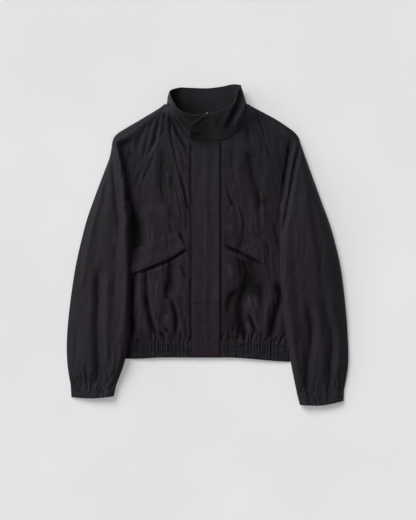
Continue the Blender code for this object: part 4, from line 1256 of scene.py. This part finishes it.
placket = dict(flat=(0.07, 0.54), rows=205, columns=30, wall=1.8, lift=1.9, free=1.1, wobble=0.7,
               bars=((-144, 0.55), (77, 0.2)), barWidth=1.8,      # stitched across: y, depth
               stitchAt=5.0, groove=0.35, grooveAt=2.2, roll=0.7,     # from and at its inner edge
               # painted light: lighter overall, with painted shade towards its top and along its rims
               paintedLight=0.14, topShade=0.3, topReach=22, rimShade=0.4)
placketFolds = [
    (0.8, 5, [(-34, 232), (-10, 205), (20, 190)]),
    (0.6, 4, [(-30, 110), (-6, 96), (24, 102)]),
    (0.7, 6, [(-30, 20), (-10, -20), (-6, -60)]),
    (0.6, 5, [(24, 60), (16, 10), (20, -40)]),
    (0.8, 6, [(-28, -170), (-6, -190), (22, -186)]),
    (0.7, 5, [(26, -210), (4, -232), (-20, -246)]),
    (-0.7, 4, [(-4, 250), (-4, 100), (-5, -100), (-4, -268)]),
]


def drawPlacket():
    xOut, xIn = placketCut["outerX"], placketCut["innerX"]
    shares = np.concatenate([[0, 0.012], np.linspace(0.035, 0.965, placket["columns"] - 4), [0.985, 1]])
    ys = np.linspace(placketCut["topY"], placketCut["bottomY"], placket["rows"])
    x, y = np.meshgrid(xOut + (xIn - xOut) * shares, ys)
    x = x + (1 - shares) ** 6 * placket["wobble"] * crumple(y, y * 0, 45, 9, 71)
    z = surface(x, y) + placket["lift"] + placket["free"] * (1 - shares) ** 2
    z = z + foldRelief(x, y, placketFolds)
    # painted shade along its rims and its stitched bars
    rim = bell(x - xOut, 1.7) + bell(x - xIn, 1.7)
    for line, depth in placket["bars"]:
        sunk = depth * bell(y - line, placket["barWidth"])
        z, rim = z - sunk, rim + 0.8 * sunk
    z = z - placket["groove"] * bell(x - (xIn - placket["grooveAt"]), 1.0)
    z = z - placket["roll"] * bell(x - xIn, 1.2)
    # painted light from its relief, lighter overall, with painted shade towards the top and at the rims
    paintedLight = paintedLightOf(z) + placket["paintedLight"] - placket["topShade"] * bell(placketCut["topY"] - y, placket["topReach"])
    paintedLight = np.clip(paintedLight - placket["rimShade"] * rim, 0, 1)
    piece, outer, normal = wallMesh("placketCloth", np.dstack([x, y, z]), placket["wall"], shellCloth,
                                    paintedLight=paintedLight)
    beside = int(np.searchsorted(shares, 1 - placket["stitchAt"] / (xIn - xOut)))
    sewAlong("cloth", outer, normal, placket["wall"], np.arange(2, placket["rows"] - 2), beside)
    for line, depth in placket["bars"]:
        sewAlong("cloth", outer, normal, placket["wall"], np.abs(ys - line).argmin(), np.arange(1, beside))
    dress(piece, "placket")


drawPlacket()

flaps = {   # upper edge x, y and lower edge x, y, from the inner end to the outer one
    right: [(-76, 32.5, -56, -9), (-98, 24, -89, -30), (-140, 7, -134, -49), (-189.6, -12, -189.6, -73)],
    left: [(37, 55, 38, 2), (60, 49.5, 70, -9), (99, 32, 102, -25), (139, 12.5, 142.5, -48)],
}
flapShape = dict(flat=(0.125, 0.06), long=52, down=30, wall=1.6, sewnLift=0.65, lift=1.7, droop=2.8, end=3.4,
                 deep=55, stitchAt=5)      # from the upper edge to the lower, and from that to the stitches


def drawFlap(side):
    shape = flapShape
    table = np.asarray(flaps[side], float)
    run = runAlong(table[:, 2:])
    at = np.linspace(0, run[-1], shape["long"])
    fine = smoothAt(run, table, at)
    s = np.concatenate([[0, 0.02], np.linspace(0.06, 0.95, shape["down"] - 4), [0.98, 1]])[None]
    x, y = (fine[:, None, :2] * (1 - s[..., None]) + fine[:, None, 2:] * s[..., None]).transpose(2, 0, 1)
    ground = surface(x, y)
    z = ground + shape["sewnLift"] + (shape["lift"] - shape["sewnLift"]) * ease(s / 0.3)
    z = z + shape["droop"] * ease((s - 0.45) / 0.55)
    z = z + shape["end"] * ease((1 - at / at[-1] - 0.82) / 0.18)[:, None] * ease(s / 0.7)
    z = z - 0.5 * bell(s * shape["deep"], 1.5) - 0.3 * bell((1 - s) * shape["deep"] - shape["stitchAt"], 1.0)
    # painted light from the relief under it, with painted shade along its upper edge
    paintedLight = 0.5 + 0.5 * (paintedLightOf(ground) - 0.5) - 0.08 * bell(s, 0.06)
    piece, outer, normal = wallMesh("flap" + sideNames[side] + "Cloth", np.dstack([x, y, z]), shape["wall"],
                                    shellCloth, paintedLight=paintedLight)
    low = shape["down"] - 4
    sewAlong("cloth", outer, normal, shape["wall"], np.arange(3, len(at) - 3), low)
    for row in (3, len(at) - 4):
        sewAlong("cloth", outer, normal, shape["wall"], row, np.arange(3, low))
    dress(piece, "pocket_flap_" + sideNames[side].lower())


for side in (right, left):
    drawFlap(side)
print("placket and flaps made")

zipShape = dict(half=13.0, down=2.6, edges=(-12.5, 9.0), wall=0.8, columns=12, rows=180,
                coilAt=5.5, stopAt=(4.9, 5.5, 6.1),       # in columns
                coilLift=0.4, stopLift=1.0)
zipInCollar = [(324, 64.6), (309, 55.6), (294, 46.4), (279, 37.2), (265.5, 28.4), (262, 25.6)]


def drawZip():
    up = pathThrough(zipInCollar, 3.0)
    ys = np.linspace(placketCut["topY"], placketCut["bottomY"], zipShape["rows"])
    down = np.column_stack([ys, surface(np.full(ys.shape, jacket["centreX"]), ys) - zipShape["down"]])
    inCollar = np.linspace(*zipShape["edges"], zipShape["columns"])
    below = jacket["centreX"] + np.linspace(-zipShape["half"], zipShape["half"], zipShape["columns"])
    line = np.vstack([up, down])
    x = np.vstack([np.tile(inCollar, (len(up), 1)), np.tile(below, (len(down), 1))])
    grid = np.dstack([x] + [np.repeat(line[:, k:k + 1], zipShape["columns"], 1) for k in (0, 1)])
    piece, outer, normal = wallMesh("zipTapeCloth", grid, zipShape["wall"], tapeCloth)
    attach(piece, "root")
    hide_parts("zip")
    sewAlong("coil", outer, normal, zipShape["wall"], np.arange(1, len(grid) - 1), zipShape["coilAt"],
             zipShape["coilLift"])
    sewAlong("stop", outer, normal, zipShape["wall"], 0, np.array(zipShape["stopAt"]), zipShape["stopLift"])


drawZip()
print("zip made")


threads = {   # line they follow, look, slot; pitch, length and thickness in metres, seed
    "clothStitches": ("cloth", threadFinish, "trim", 0.0032, 0.0023, 0.00055, 4),
    "elasticStitches": ("elastic", threadFinish, "trim", 0.0036, 0.0026, 0.0006, 5),
    "collarStitches": ("collar", threadFinish, "trim", 0.0032, 0.0022, 0.0005, 6),
    "zipCoil": ("coil", coilFinish, "zip", 0.0016, 0.0015, 0.0026, 7),
    "zipStop": ("stop", stopFinish, "zip", 0.0011, 0.0036, 0.0028, 8),
}
beadSizes = (0.42, 0.55)      # half lengths, as shares of the stated length


def stitchTree():
    # short beads of thread at even steps along the edges of a mesh
    tree, entry, leave = newGroup(
        "stitchRow", "GeometryNodeTree",
        (("Lines", "Geometry"), ("Pitch", "Float"), ("Long", "Float"), ("Thick", "Float"), ("Seed", "Int"),
         ("Thread", "Material")), (("Stitches", "Geometry"),))
    line = addNode(tree, "GeometryNodeMeshToCurve", {"Mesh": entry["Lines"]})
    even = addNode(tree, "GeometryNodeResampleCurve", {"Curve": line, "Length": entry["Pitch"]},
                   mode="LENGTH")
    bead = addNode(tree, "GeometryNodeMeshIcoSphere", {"Radius": 1.0, "Subdivisions": 1})
    tangent = addNode(tree, "GeometryNodeInputTangent")
    turn = addNode(tree, "FunctionNodeAlignRotationToVector", {"Vector": tangent}, axis="X")
    thick = entry["Thick"]
    size = addNode(tree, "ShaderNodeCombineXYZ", {"X": entry["Long"], "Y": thick, "Z": thick})
    low, high = beadSizes
    uneven = addNode(tree, "FunctionNodeRandomValue", {2: low, 3: high, "Seed": entry["Seed"]},
                     data_type="FLOAT")
    scaled = addNode(tree, "ShaderNodeVectorMath", {0: size, "Scale": uneven.outputs[1]}, operation="SCALE")
    place = addNode(tree, "GeometryNodeInstanceOnPoints", {
        "Points": even, "Instance": bead, "Rotation": turn, "Scale": scaled})
    real = addNode(tree, "GeometryNodeRealizeInstances", {"Geometry": place})
    dressed = addNode(tree, "GeometryNodeSetMaterial", {"Geometry": real, "Material": entry["Thread"]})
    feed(tree, leave, {"Stitches": dressed})
    return tree


def sewn(name, tree, lines, values):
    # the tree's result along the lines, as a plain mesh
    points, edges = [], []
    for spots in lines:
        edges += [(len(points) + k, len(points) + k + 1) for k in range(len(spots) - 1)]
        points += (np.asarray(spots) * mm).tolist()
    guide = bpy.data.meshes.new(name + "Guide")
    guide.from_pydata(points, edges, [])
    holder = addObject(name + "Guide", guide)
    modifier = holder.modifiers.new("stitching", "NODES")
    modifier.node_group = tree
    for item in tree.interface.items_tree:
        if item.in_out == "INPUT" and item.name in values:
            modifier[item.identifier] = values[item.name]
    graph = bpy.context.evaluated_depsgraph_get()
    mesh = bpy.data.meshes.new_from_object(holder.evaluated_get(graph), depsgraph=graph)
    holder.modifiers.remove(modifier)
    bpy.data.objects.remove(holder)
    bpy.data.meshes.remove(guide)
    mesh.name = name
    mesh.shade_smooth()
    return addObject(name, mesh)


stitchRow = stitchTree()
for name, (kind, look, slot, pitch, long, thick, seed) in threads.items():
    values = {"Pitch": pitch, "Long": long, "Thick": thick, "Seed": seed, "Thread": look}
    piece = sewn(name, stitchRow, seams[kind], values)
    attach(piece, "root")
    print(piece.name, len(piece.data.polygons), "faces")


studio = dict(
    floor=(0.58, 0.58, 0.58), half=4.0, drop=0.0004,
    glow=0.25,        # of the floor, so that its shadows stay light
    fill=0.21, lookAt=(0.00125, -0.0375), height=4.0, lens=110.8, sensor=36.0,
    # suns: height above the floor and way round in degrees, strength, spread in degrees
    suns=dict(keyLight=(41, 127, 2.75, 34), sideLight=(14, 172, 1.4, 40)),
)


def makeStudio():
    half, z = studio["half"], -studio["drop"]
    mesh = bpy.data.meshes.new("floor")
    mesh.from_pydata([(-half, -half, z), (half, -half, z), (half, half, z), (-half, half, z)], [],
                     [(0, 1, 2, 3)])
    mesh.materials.append(plainMaterial("paleFloor", studio["floor"], 1.0, grain=3.0, glow=studio["glow"]))
    floor = addObject("floor", mesh)
    for name, (rise, turn, strength, spread) in studio["suns"].items():
        sun = bpy.data.lights.new(name, "SUN")
        sun.energy, sun.angle = strength, math.radians(spread)
        rise, turn = math.radians(rise), math.radians(turn)
        way = Vector((math.cos(rise) * math.cos(turn), math.cos(rise) * math.sin(turn), math.sin(rise)))
        addObject(name, sun).rotation_euler = way.to_track_quat("Z", "Y").to_euler()
    scene = bpy.context.scene
    scene.world = scene.world or bpy.data.worlds.new("studio")
    scene.world.use_nodes = True
    tree = scene.world.node_tree
    feed(tree, tree.nodes["Background"], {"Color": (1, 1, 1, 1), "Strength": studio["fill"]})
    lens = bpy.data.cameras.new("camera")
    lens.lens, lens.sensor_fit = studio["lens"], "VERTICAL"
    lens.sensor_width = lens.sensor_height = studio["sensor"]
    scene.camera = addObject("camera", lens)
    scene.camera.location = (*studio["lookAt"], studio["height"])
    scene.view_settings.view_transform = "Standard"


makeStudio()
print("scene ready")
